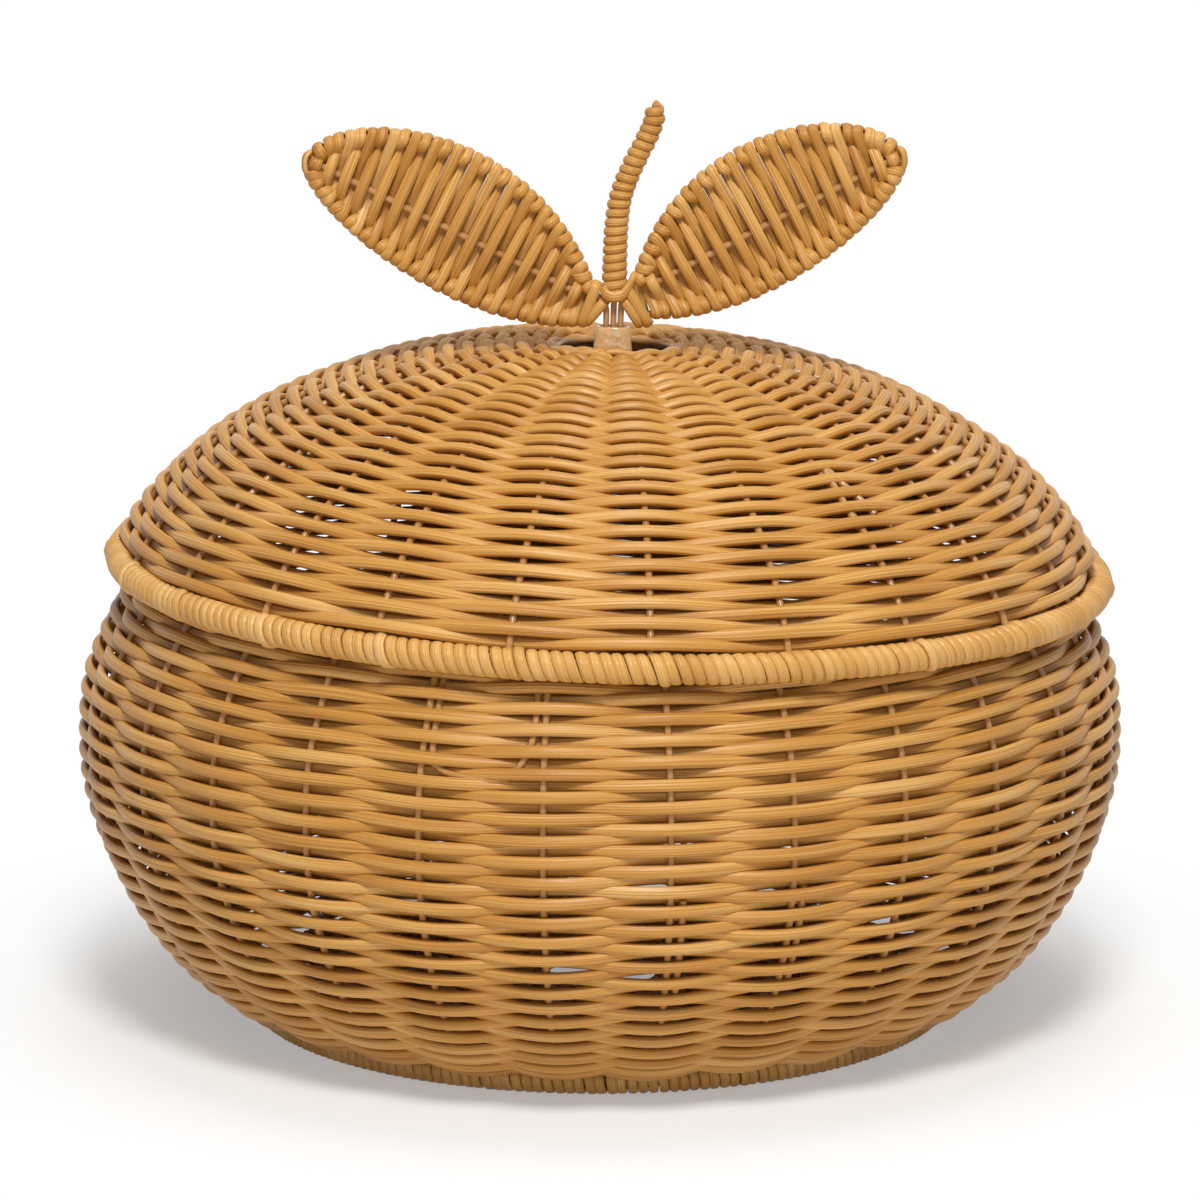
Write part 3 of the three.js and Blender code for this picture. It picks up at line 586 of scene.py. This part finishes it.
def grown(name, tree, source, finish, **inputs):
    """The mesh that a tree makes of a chain."""
    holder = in_scene(name, source)
    modifier = holder.modifiers.new("tree", "NODES")
    modifier.node_group = tree
    values = {"Material": finish, **{key.replace("_", " "): value for key, value in inputs.items()}}
    for socket in tree.interface.items_tree:
        if socket.in_out == "INPUT" and socket.name in values:
            modifier[socket.identifier] = values.pop(socket.name)
    if values:
        raise ValueError(f"{tree.name} has no input {sorted(values)}")
    evaluated = holder.evaluated_get(bpy.context.evaluated_depsgraph_get())
    mesh = bpy.data.meshes.new_from_object(evaluated)
    bpy.data.objects.remove(holder)
    return mesh


def bent_wire(name, source, thickness, smoothness=1, copies=1, turn=0.0):
    """A coated wire along a chain, set round in a circle if there are several."""
    return grown(name, route, source, coated_wire, Width=thickness, Thickness=thickness,
                 Flatness=1.0, Sides=wire_sides, Smoothness=smoothness, Copies=copies, Turn=turn)


def led_strand(name, points, aways, width, thickness, smoothness=1):
    """A strand of cane led through points."""
    return grown(name, route, chain(points, aways), woven_cane, Width=width, Thickness=thickness,
                 Flatness=strand_flatness, Sides=strand_sides, Smoothness=smoothness, Copies=1)


def joined(meshes):
    """Several meshes of one finish as one."""
    whole = bmesh.new()
    for mesh in meshes:
        whole.from_mesh(mesh)
    mesh = meshes[0].copy()
    whole.to_mesh(mesh)
    whole.free()
    return mesh


def piece(name, mesh, body, nodes, placed=None):
    """Hands a finished mesh to the frame in place of its CAD nodes."""
    mesh.name = name
    if placed:
        mesh.transform(placed)
    made = in_scene(name, mesh)
    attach(made, body)
    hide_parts(*nodes)


def bezier(corners, steps):
    """Points along a cubic Bezier curve."""
    a, b, c, d = corners
    points = []
    for i in range(steps + 1):
        t = i / steps
        points.append((1 - t) ** 3 * a + 3 * (1 - t) ** 2 * t * b + 3 * (1 - t) * t ** 2 * c + t ** 3 * d)
    return points


def catmull(points, steps):
    """Points along a smooth curve through points."""
    ends = [2 * points[0] - points[1]] + points + [2 * points[-1] - points[-2]]
    made = []
    for a, b, c, d in zip(ends, ends[1:], ends[2:], ends[3:]):
        for i in range(steps):
            t = i / steps
            made.append(0.5 * (2 * b + (c - a) * t + (2 * a - 5 * b + 4 * c - d) * t ** 2
                               + (3 * b - a - 3 * c + d) * t ** 3))
    return made + [points[-1]]


def length_of(points):
    """The length of a line through points."""
    return sum((b - a).length for a, b in zip(points, points[1:]))


def along_line(points, way):
    """The point at a way along a line, and the direction there."""
    for a, b in zip(points, points[1:]):
        step = (b - a).length
        if way <= step:
            return a + (b - a).normalized() * way, (b - a).normalized()
        way -= step
    return points[-1], (points[-1] - points[-2]).normalized()


def in_front(point):
    """A point of radius and height, in the front half plane."""
    return Vector((0, -point.x, point.y))


def beside(line, angle, way, out=0.0):
    """A point by a wall's line: at an angle in degrees, a way along it, and so far outside it."""
    at, run = along_line(line, way)
    at = at + Vector((run.y, -run.x)) * out
    return Matrix.Rotation(radians(angle), 3, "Z") @ in_front(at)


def ring(radius, height, sides=180):
    """Points of a level circle from the back round by the left."""
    angles = [pi + 2 * pi * i / sides for i in range(sides)]
    return [Vector((radius * sin(a), -radius * cos(a), height)) for a in angles]


# Lines of the wall and of the lid, as in the CAD

curve_steps = 40
foot_binding_radius = foot_wire / 2 + strand_thickness
spoke_height = foot_ring_height + foot_wire / 2 + clearance + stake_wire / 2
lid_binding_radius = lid_rim_wire / 2 + strand_thickness
rim_reach = lid_rim_radius / cos(lid_seat_angle)
rim_height = rim_reach * sin(lid_seat_angle)
shoulder_radius = rim_reach - lid_binding_radius - clearance
middle_shoulder = shoulder_radius - wall_thickness / 2
mouth_binding_radius = mouth_wire / 2 + strand_thickness
mouth_clear = (lid_binding_radius + mouth_binding_radius + mouth_gap) / middle_shoulder
mouth_angle = lid_seat_angle + lid_tilt + mouth_clear


def wall_line():
    """The middle line of the wall, from over the foot ring to the mouth ring."""
    foot = Vector((foot_ring_radius, spoke_height))
    belly = Vector((body_radius - wall_thickness / 2, belly_height))
    centre = Vector((0, shoulder_centre_height))

    def shoulder(angle):
        return centre + middle_shoulder * Vector((cos(angle), sin(angle)))

    start = shoulder(shoulder_start_angle)
    upper = (start - belly).length * upper_handle_share
    heading = Vector((sin(shoulder_start_angle), -cos(shoulder_start_angle)))
    lower = bezier((
        foot,
        foot + Vector(((belly.x - foot.x) * foot_handle_share, 0)),
        belly - Vector((0, (belly.y - foot.y) * belly_handle_share)),
        belly,
    ), curve_steps)
    middle = bezier((belly, belly + Vector((0, upper)), start + upper * heading, start), curve_steps)
    round_shoulder = mouth_angle - shoulder_start_angle
    angles = [shoulder_start_angle + round_shoulder * i / curve_steps for i in range(1, curve_steps + 1)]
    return lower + middle[1:] + [shoulder(angle) for angle in angles]


def dome_line():
    """The middle line of the lid's wall, from the rim's wire to the ring at the hole."""
    rim = Vector((lid_rim_radius, 0))
    hole = Vector((centre_ring_radius, lid_dome_height))
    rim_handle = lid_dome_height * dome_rim_handle_share
    heading = Vector((-cos(dome_rim_angle), sin(dome_rim_angle)))
    top_handle = (rim.x - hole.x) * dome_top_handle_share
    return bezier((rim, rim + rim_handle * heading, hole + Vector((top_handle, 0)), hole), 2 * curve_steps)


wall = wall_line()
mouth_centre = wall[-1]
dome = dome_line()
dome_length = length_of(dome)
lid_place = (
    Matrix.Translation((0, 0, shoulder_centre_height))
    @ Matrix.Rotation(lid_tilt, 4, "Y")
    @ Matrix.Translation((0, 0, rim_height))
)

# Weave


def weave_sizes(stakes, turn, start, end, rows, steps, wander, seed):
    """What the plain weave needs to fill a line from start to end. Its strand begins at the back."""
    to_back = 2 * pi * (stakes // 2) / stakes
    return {
        "Stakes": stakes, "Turn": turn + to_back, "Start": start, "Pitch": (end - start) / rows,
        "Steps": steps, "Wander": wander, "Seed": seed,
        "Swing": (stake_wire + weave_thickness) / 2 - weave_give,
        "Width": strand_width, "Thickness": weave_thickness, "Flatness": strand_flatness,
        "Sides": strand_sides,
    }


def woven_half(name, line, rows, first_row, sizes):
    """Half of a wall's rows, from its first row up."""
    source = chain([in_front(point) for point in line])
    return grown(name, weave, source, woven_cane, Rows=rows / 2, First_Row=first_row, **sizes)


wall_from = foot_binding_radius + strand_width / 2
wall_to = length_of(wall) - mouth_binding_radius - strand_width / 2
wall_sizes = weave_sizes(body_stakes, body_turn, wall_from, wall_to, body_rows, weave_steps,
                         body_row_wander, seed=3.0)
lower_wall = woven_half("lower wall", wall, body_rows, 0.0, wall_sizes)
piece("wall_weave_lower", lower_wall, "basket", ["body_weave"])
upper_wall = woven_half("upper wall", wall, body_rows, body_rows / 2, wall_sizes)
piece("wall_weave_upper", upper_wall, "basket", ["body_weave"])

# Body's wires

# A hairpin and short second stakes that show between the rows in front: angles in degrees from the
# front, and ways up the wall in millimetres.
hairpin = [(-18.2, 150), (-18.2, 121), (-17.2, 115), (-14.5, 113), (-11.5, 112.5), (-9.4, 114),
           (-8.0, 119), (-7.1, 127), (-7.0, 150)]
second_stakes = [[(8.75, 80), (8.7, 66), (8.6, 50)], [(21.9, 82), (21.9, 66), (21.8, 50)]]
extra_smoothness = 6

stakes = [f"body_stake_{i + 1:02d}" for i in range(body_stakes)]
stake_line = [Vector((centre_ring_radius, spoke_height))] + wall
stake_chain = chain([in_front(point) for point in stake_line[::3] + [wall[-1]]])
body_wires = [bent_wire("body stakes", stake_chain, stake_wire, copies=body_stakes, turn=body_turn)]
for points in [hairpin] + second_stakes:
    source = chain([beside(wall, angle, way * mm) for angle, way in points])
    body_wires.append(bent_wire("second stake", source, stake_wire, extra_smoothness))
piece("body_stakes", joined(body_wires), "basket", stakes)

# Floor, with the same wires for spokes

floor_from = centre_ring_radius + stake_wire / 2 + strand_width / 2
floor_to = foot_ring_radius - foot_binding_radius - strand_width / 2
floor_chain = chain([Vector((0, 0, spoke_height)), Vector((0, -foot_ring_radius, spoke_height))])
floor_sizes = weave_sizes(body_stakes, body_turn, floor_from, floor_to, floor_rows, floor_steps,
                          floor_row_wander, seed=11.0)
floor_mesh = grown("floor", weave, floor_chain, woven_cane, Rows=floor_rows, First_Row=0.0,
                   **floor_sizes)
piece("floor_weave_strand", floor_mesh, "basket", ["floor_weave"])

# Body's ring wires

body_ring_sides = 96
for name, radius, height, thick in (
    ("floor_ring", centre_ring_radius, spoke_height, stake_wire),
    ("foot_ring", foot_ring_radius, foot_ring_height, foot_wire),
    ("mouth_ring", mouth_centre.x, mouth_centre.y, mouth_wire),
):
    mesh = bent_wire(name, chain(ring(radius, height, body_ring_sides), closed=True), thick)
    piece(f"{name}_wire", mesh, "basket", [name])

# Strand bound round the body's rings


def bound(name, radius, height, reach, stakes_in, turned, seed, lean=0.0, rise=0.0, spacing=turn_spacing):
    """A strand bound round a ring wire, over the ends of the stakes that come into it."""
    return grown(
        name, winding, chain(ring(radius, height), closed=True), bound_cane,
        Turns=float(round(2 * pi * radius / spacing)), Steps=turn_steps, Closed_End=0.0,
        Radius_Start=reach, Radius_End=reach, Reference=(0.0, 0.0, 1.0), Lean=lean, Rise=rise,
        Stakes=stakes_in, First_Stake=(0.5 - turned / (2 * pi)) * stakes_in,
        Slip=bound_slip, Seed=seed, Width=bound_width * spacing / turn_spacing,
        Thickness=bound_thickness, Flatness=bound_flatness, Sides=strand_sides,
    )


# The foot's turns are pressed flat by the basket's weight.
foot_reach = foot_ring_height - bound_thickness / 2 - foot_lift
foot_mesh = bound("foot binding", foot_ring_radius, foot_ring_height, foot_reach, body_stakes,
                  body_turn, seed=5.0, spacing=foot_turn_spacing)
piece("foot_binding_strand", foot_mesh, "basket", ["foot_binding"])
mouth_reach = (mouth_wire + strand_thickness) / 2
mouth_mesh = bound("mouth binding", mouth_centre.x, mouth_centre.y, mouth_reach, body_stakes,
                   body_turn, seed=9.0, lean=mouth_turn_lean)
piece("mouth_binding_strand", mouth_mesh, "basket", ["mouth_binding"])

# Lid's weave


def hole_border():
    """The strand round the hole: over once round, up and down with the stakes, and higher in front."""
    steps = 110
    start = -50
    sweep = 400
    first_in = 0.3 * mm
    drawn_in = 2.2 * mm
    lift = 0.8 * mm
    front_lift = 0.9 * mm
    stake_lift = 0.4 * mm
    points = []
    for i in range(steps + 1):
        angle = start + sweep * i / steps
        turned = radians(angle)
        up = lift + front_lift * cos(turned) + stake_lift * cos(turned * lid_stakes / 2)
        points.append(beside(dome, angle, dome_length - first_in - drawn_in * i / steps, up))
    return led_strand("hole border", points, [Vector((0, 0, 1))] * len(points), strand_width,
                      strand_thickness)


dome_from = lid_binding_radius
dome_to = dome_length - stake_wire / 2 - strand_width / 2
dome_sizes = weave_sizes(lid_stakes, lid_turn, dome_from, dome_to, lid_rows, weave_steps,
                         lid_row_wander, seed=21.0)
lower_dome = woven_half("lower dome", dome, lid_rows, 0.0, dome_sizes)
piece("lid_weave_lower", lower_dome, "lid", ["lid_weave"], lid_place)
upper_dome = woven_half("upper dome", dome, lid_rows, lid_rows / 2, dome_sizes)
piece("lid_weave_upper", joined([upper_dome, hole_border()]), "lid", ["lid_weave"], lid_place)

# Lid's wires

# A hairpin between the rows at the right: angles in degrees, and ways up the lid and out of it in
# millimetres.
lid_hairpin = [(35.2, 40, 0.3), (35.4, 52, 0.9), (35.9, 60, 1.3), (36.6, 61.3, 1.3), (37.2, 57, 1.1),
               (38.4, 51, 0.6), (39.4, 44, 0.2)]
hole_ring_sides = 64
rim_ring_sides = 120

lid_stake_chain = chain([in_front(point) for point in dome[::2]])
hole_ring = chain(ring(centre_ring_radius, lid_dome_height, hole_ring_sides), closed=True)
hairpin_chain = chain([beside(dome, angle, way * mm, out * mm) for angle, way, out in lid_hairpin])
lid_wires = [
    bent_wire("lid stakes", lid_stake_chain, stake_wire, copies=lid_stakes, turn=lid_turn),
    bent_wire("lid ring", hole_ring, stake_wire),
    bent_wire("lid hairpin", hairpin_chain, stake_wire, extra_smoothness),
]
piece("lid_frame_wires", joined(lid_wires), "lid", ["lid_frame"], lid_place)

# Lid's rim

rim_mesh = bent_wire("rim wire", chain(ring(lid_rim_radius, 0, rim_ring_sides), closed=True),
                     2 * (rim_bound_radius - bound_thickness))
piece("lid_rim_wire", rim_mesh, "lid", ["lid_rim_ring"], lid_place)
rim_binding = bound("rim binding", lid_rim_radius, 0, rim_bound_radius - bound_thickness / 2,
                    lid_stakes, rim_rise_turn, seed=2.0, lean=rim_turn_lean, rise=rim_rise)
piece("lid_rim_binding_strand", rim_binding, "lid", ["lid_rim_binding"], lid_place)

# Stem

hub_radius = centre_ring_radius - stake_wire / 2 - clearance
twig_plane = -hub_radius + hub_depth / 2
hub_top = lid_dome_height + hub_rise
hub_bottom = lid_dome_height - hub_drop
route_steps = 6


def twig_point(x, z, y=0.0):
    """A point by the upright plane in which the stem and the leaves stand: beside the hub, up and back."""
    return Vector((hub_offset + x, twig_plane + y, z))


stem_route = [twig_point(0, lid_dome_height), twig_point(0, hub_top + stem_winding_start)]
stem_route += [twig_point(x * mm, hub_top + z * mm) for x, z in stem_bends]
stem_line = catmull(stem_route, route_steps)
piece("stem_wire", bent_wire("stem wire", chain(stem_line), twig_wire), "lid",
      ["stem_core"], lid_place)
stem_winding = grown(
    "stem winding", winding, chain(stem_line[route_steps:]), woven_cane,
    Turns=float(stem_turns), Steps=stem_turn_steps, Reference=(0.0, 1.0, 0.0), Closed_End=0.85,
    Radius_Start=(stem_width_below - stem_strand_thickness) / 2,
    Radius_End=(stem_width_above - stem_strand_thickness) / 2,
    Lean=0.0, Stakes=1, First_Stake=0.0, Rise=0.0, Slip=stem_slip, Seed=4.0,
    Width=stem_strand_width, Thickness=stem_strand_thickness, Flatness=stem_strand_flatness,
    Sides=stem_strand_sides,
)
piece("stem_winding_strand", stem_winding, "lid", ["stem_winding"], lid_place)

# Leaves

# Short passes at a leaf's base, by side: from a point by the stem to one by the hub, each as
# a distance aside from the hub's middle and a height over its top, in millimetres.
leaf_base_passes = {
    -1: [((3.6, 6.3), (6.6, 2.6)), ((5.6, 10.5), (8.4, 2.4))],
    1: [((3.6, 7.0), (6.6, 2.6)), ((4.4, 9.9), (8.9, 2.9))],
}
# The stem's lowest loop leaves it for the right leaf: places aside, in depth and over the hub's top,
# in millimetres.
stem_to_leaf = [
    (-3.0, -1.6, 11.0), (-2.3, -2.9, 9.7), (0.0, -3.6, 9.0), (2.6, -2.9, 10.0),
    (4.3, -1.9, 12.4), (5.4, -1.2, 14.6), (5.4, 1.6, 13.6), (4.6, 1.9, 9.5),
]
# A pair of passes: at which edge the strand is (1 upper, -1 lower, 0 the midrib), at what share of
# the pair's length, and on which side of the wire.
pair_shares = [
    (1, 0.0, "outer"), (1, 0.02, "front"),
    (0, 0.0, "behind"),
    (-1, 0.01, "front"), (-1, 0.03, "outer"), (-1, 0.08, "back"), (-1, 0.25, "inner"),
    (-1, 0.42, "front"), (-1, 0.47, "outer"), (-1, 0.48, "back"),
    (0, 0.56, "before"),
    (1, 0.52, "back"), (1, 0.53, "outer"), (1, 0.57, "front"), (1, 0.75, "inner"), (1, 0.91, "back"),
]
first_pair_share = 0.035
last_pair_share = 0.985
tip_front_share = 0.4
lashing_smoothness = 5
leaf_inset = leaf_wire / 2 + leaf_strand_thickness
round_wire = (leaf_wire + leaf_strand_thickness) / 2
round_midrib = (midrib_wire + leaf_strand_thickness) / 2 + midrib_ease


class Leaf:
    """A leaf in its own axes: along it from base to tip, and across it, upwards."""

    def __init__(self, side, length, seat, rise):
        self.side = side
        self.length = length
        self.seat = seat
        self.along = Vector((side * cos(rise), sin(rise)))
        self.across = Vector((-side * sin(rise), cos(rise)))
        aside = stem_width_below / 2 + clearance + leaf_upper_edge["base"] * sin(rise)
        self.base = Vector((side * aside, hub_top + seat))
        self.edges = {1: self.edge(1, leaf_upper_edge), -1: self.edge(-1, leaf_lower_edge)}

    def point(self, place, y=0.0):
        """A place on the leaf as a point of the lid."""
        at = self.base + place.x * self.along + place.y * self.across
        return twig_point(at.x, at.y, y)

    def direction(self, across, y):
        """A direction on the leaf as one of the lid."""
        flat = across.x * self.along + across.y * self.across
        return Vector((flat.x, y, flat.y))

    def edge(self, side, heights, steps=24):
        """The line of the wire along one edge, from base to tip, a strand's thickness inside the outline."""
        outline = bezier((
            Vector((0, side * heights["base"])),
            Vector((self.length * leaf_base_handle_share, side * heights["base_handle"])),
            Vector((self.length * leaf_tip_handle_share, side * heights["tip_handle"])),
            Vector((self.length, 0)),
        ), steps)
        points = []
        for i, point in enumerate(outline):
            run = (outline[min(i + 1, steps)] - outline[max(i - 1, 0)]).normalized()
            points.append(point - side * leaf_inset * Vector((-run.y, run.x)))
        return points

    def at_edge(self, side, share):
        """The point at a share of one edge's length, and the direction there."""
        return along_line(self.edges[side], share * length_of(self.edges[side]))

    def wire_route(self):
        """The edge wire: up from the hub beside the stem, round the leaf, and down to the hub again."""
        bend_share = 0.55
        leave_share = 0.85
        leg_steps = 4
        beside_stem = twig_wire + clearance
        leg = [
            (beside_stem, -hub_rise), (beside_stem, bend_share * self.seat),
            (2.5 * mm, leave_share * self.seat), (3.6 * mm, self.seat + 1 * mm),
        ]
        legs = catmull([twig_point(self.side * x, hub_top + z) for x, z in leg], leg_steps)
        tip = Vector((self.length - leaf_inset, 0))
        outline = self.edges[1][1:-1] + [tip] + self.edges[-1][-2:0:-1]
        lower_end = twig_point(self.side * 5.6 * mm, hub_top + 2.2 * mm)
        return legs + [self.point(place) for place in outline] + [lower_end]


def lashing_keys(leaf):
    """Points that a leaf's strand runs through, with the direction that its flat side faces.

    For each pair of passes the strand crosses the leaf in front of both edges and behind the
    midrib, takes a turn round the lower edge, comes back the other way round and takes a turn
    round the upper edge.
    """
    keys = []

    def turn_edge(side, share, where):
        """A place before, behind, outside or inside one edge's wire."""
        point, run = leaf.at_edge(side, share)
        outward = side * Vector((-run.y, run.x))
        spots = {"front": (Vector((0, 0)), -1), "back": (Vector((0, 0)), 1),
                 "outer": (outward, 0), "inner": (-outward, 0)}
        flat, y = spots[where]
        keys.append((leaf.point(point + flat * round_wire, y * round_wire), leaf.direction(flat, y)))

    def cross_midrib(share, where):
        """A place before or behind the midrib."""
        upper = leaf.at_edge(1, share)[0]
        lower = leaf.at_edge(-1, share)[0]
        middle = upper.lerp(lower, upper.y / (upper.y - lower.y))
        y = 1 if where == "behind" else -1
        keys.append((leaf.point(middle, y * round_midrib), leaf.direction(Vector((0, 0)), -y)))

    if leaf.side > 0:
        for x, y, z in stem_to_leaf:
            keys.append((twig_point(x * mm, hub_top + z * mm, y * mm), Vector((x, y, 0)).normalized()))
    for upper, lower in leaf_base_passes[leaf.side]:
        top = Vector((leaf.side * upper[0] * mm, hub_top + upper[1] * mm))
        foot = Vector((leaf.side * lower[0] * mm, hub_top + lower[1] * mm))
        down = (foot - top).normalized()
        for flat, y in ((top, 1), (top - down * round_wire, 0), (top, -1),
                        (foot, -1), (foot + down * round_wire, 0), (foot, 1)):
            facing = Vector((0, y, 0)) if y else Vector((down.x, 0, down.y)) * (1 if flat.y < top.y else -1)
            keys.append((twig_point(flat.x, flat.y, y * round_wire), facing))
    pairs = round(leaf.length / leaf_pair_length)
    span = (last_pair_share - first_pair_share) / pairs
    for pair in range(pairs):
        for side, share, where in pair_shares:
            at = min(max(first_pair_share + (pair + share) * span, 0), 1)
            if side:
                turn_edge(side, at, where)
            else:
                cross_midrib(at, where)
    # The last pass goes round the tip.
    turn_edge(1, share=0.985, where="outer")
    outside_tip = Vector((leaf.length - leaf_inset + round_wire, 0))
    keys.append((leaf.point(outside_tip, -tip_front_share * round_wire), leaf.direction(Vector((1, 0)), 0)))
    turn_edge(-1, share=0.97, where="outer")
    turn_edge(-1, share=0.95, where="back")
    return keys


for label, shape in (("left", left_leaf), ("right", right_leaf)):
    leaf = Leaf(**shape)
    edge_wire = bent_wire("leaf frame", chain(leaf.wire_route()), leaf_wire)
    piece(f"leaf_{label}_edge_wire", edge_wire, "lid", [f"leaf_{label}_frame"], lid_place)
    ends = [2 * leaf_inset + leaf_wire, leaf.length - leaf_inset - leaf_wire - clearance]
    midrib = bent_wire("midrib", chain([leaf.point(Vector((way, 0))) for way in ends]), midrib_wire)
    piece(f"leaf_{label}_midrib_wire", midrib, "lid", [f"leaf_{label}_midrib"], lid_place)
    points, facings = zip(*lashing_keys(leaf))
    lashing = led_strand("lashing", points, facings, leaf_strand_width, leaf_strand_thickness,
                         lashing_smoothness)
    piece(f"leaf_{label}_lashing_strand", lashing, "lid", [f"leaf_{label}_lashing"], lid_place)

# Hub


def hub_mesh():
    """The resin block: wider below, with soft corners and a hollow top."""
    levels = 9
    sides = 28
    foot_spread = 1.3
    shallower_share = 0.15
    corner_softness = 0.5
    neck = hub_width_above * hub_neck_share
    rings = []
    for i in range(levels):
        share = i / (levels - 1)
        wide = (neck + (hub_width_below - neck) * (1 - share) ** foot_spread) / 2
        deep = hub_depth / 2 * (1 - shallower_share * share)
        rings.append((hub_bottom + (hub_top - hub_bottom) * share, wide, deep))
    hollow_shares = [(0.3 * mm, 0.37, 0.36), (-0.7 * mm, 0.29, 0.27), (-1.8 * mm, 0.16, 0.16)]
    for up, width_share, depth_share in hollow_shares:
        rings.append((hub_top + up, hub_width_above * width_share, hub_depth * depth_share))
    shape = bmesh.new()
    loops = []
    for z, wide, deep in rings:
        loop = []
        for j in range(sides):
            angle = 2 * pi * j / sides
            c, s = cos(angle), sin(angle)
            x = copysign(abs(c) ** corner_softness, c) * wide
            y = copysign(abs(s) ** corner_softness, s) * deep
            loop.append(shape.verts.new(twig_point(x, z, y)))
        loops.append(loop)
    for below, above in zip(loops, loops[1:]):
        for j in range(sides):
            k = (j + 1) % sides
            shape.faces.new((below[j], below[k], above[k], above[j]))
    shape.faces.new(loops[0][::-1])
    shape.faces.new(loops[-1])
    bmesh.ops.recalc_face_normals(shape, faces=shape.faces)
    for face in shape.faces:
        face.smooth = True
    mesh = bpy.data.meshes.new("hub")
    shape.to_mesh(mesh)
    shape.free()
    mesh.materials.append(hot_melt)
    return mesh


piece("hub_resin_block", hub_mesh(), "lid", ["hub"], lid_place)

# Paper under the basket

sheet_half = 3.0
ground = bpy.data.meshes.new("paper")
ground.from_pydata([(-sheet_half, -sheet_half, 0), (sheet_half, -sheet_half, 0),
                    (sheet_half, sheet_half, 0), (-sheet_half, sheet_half, 0)], [], [(0, 1, 2, 3)])
ground.materials.append(paper)
floor = in_scene("paper_floor", ground)
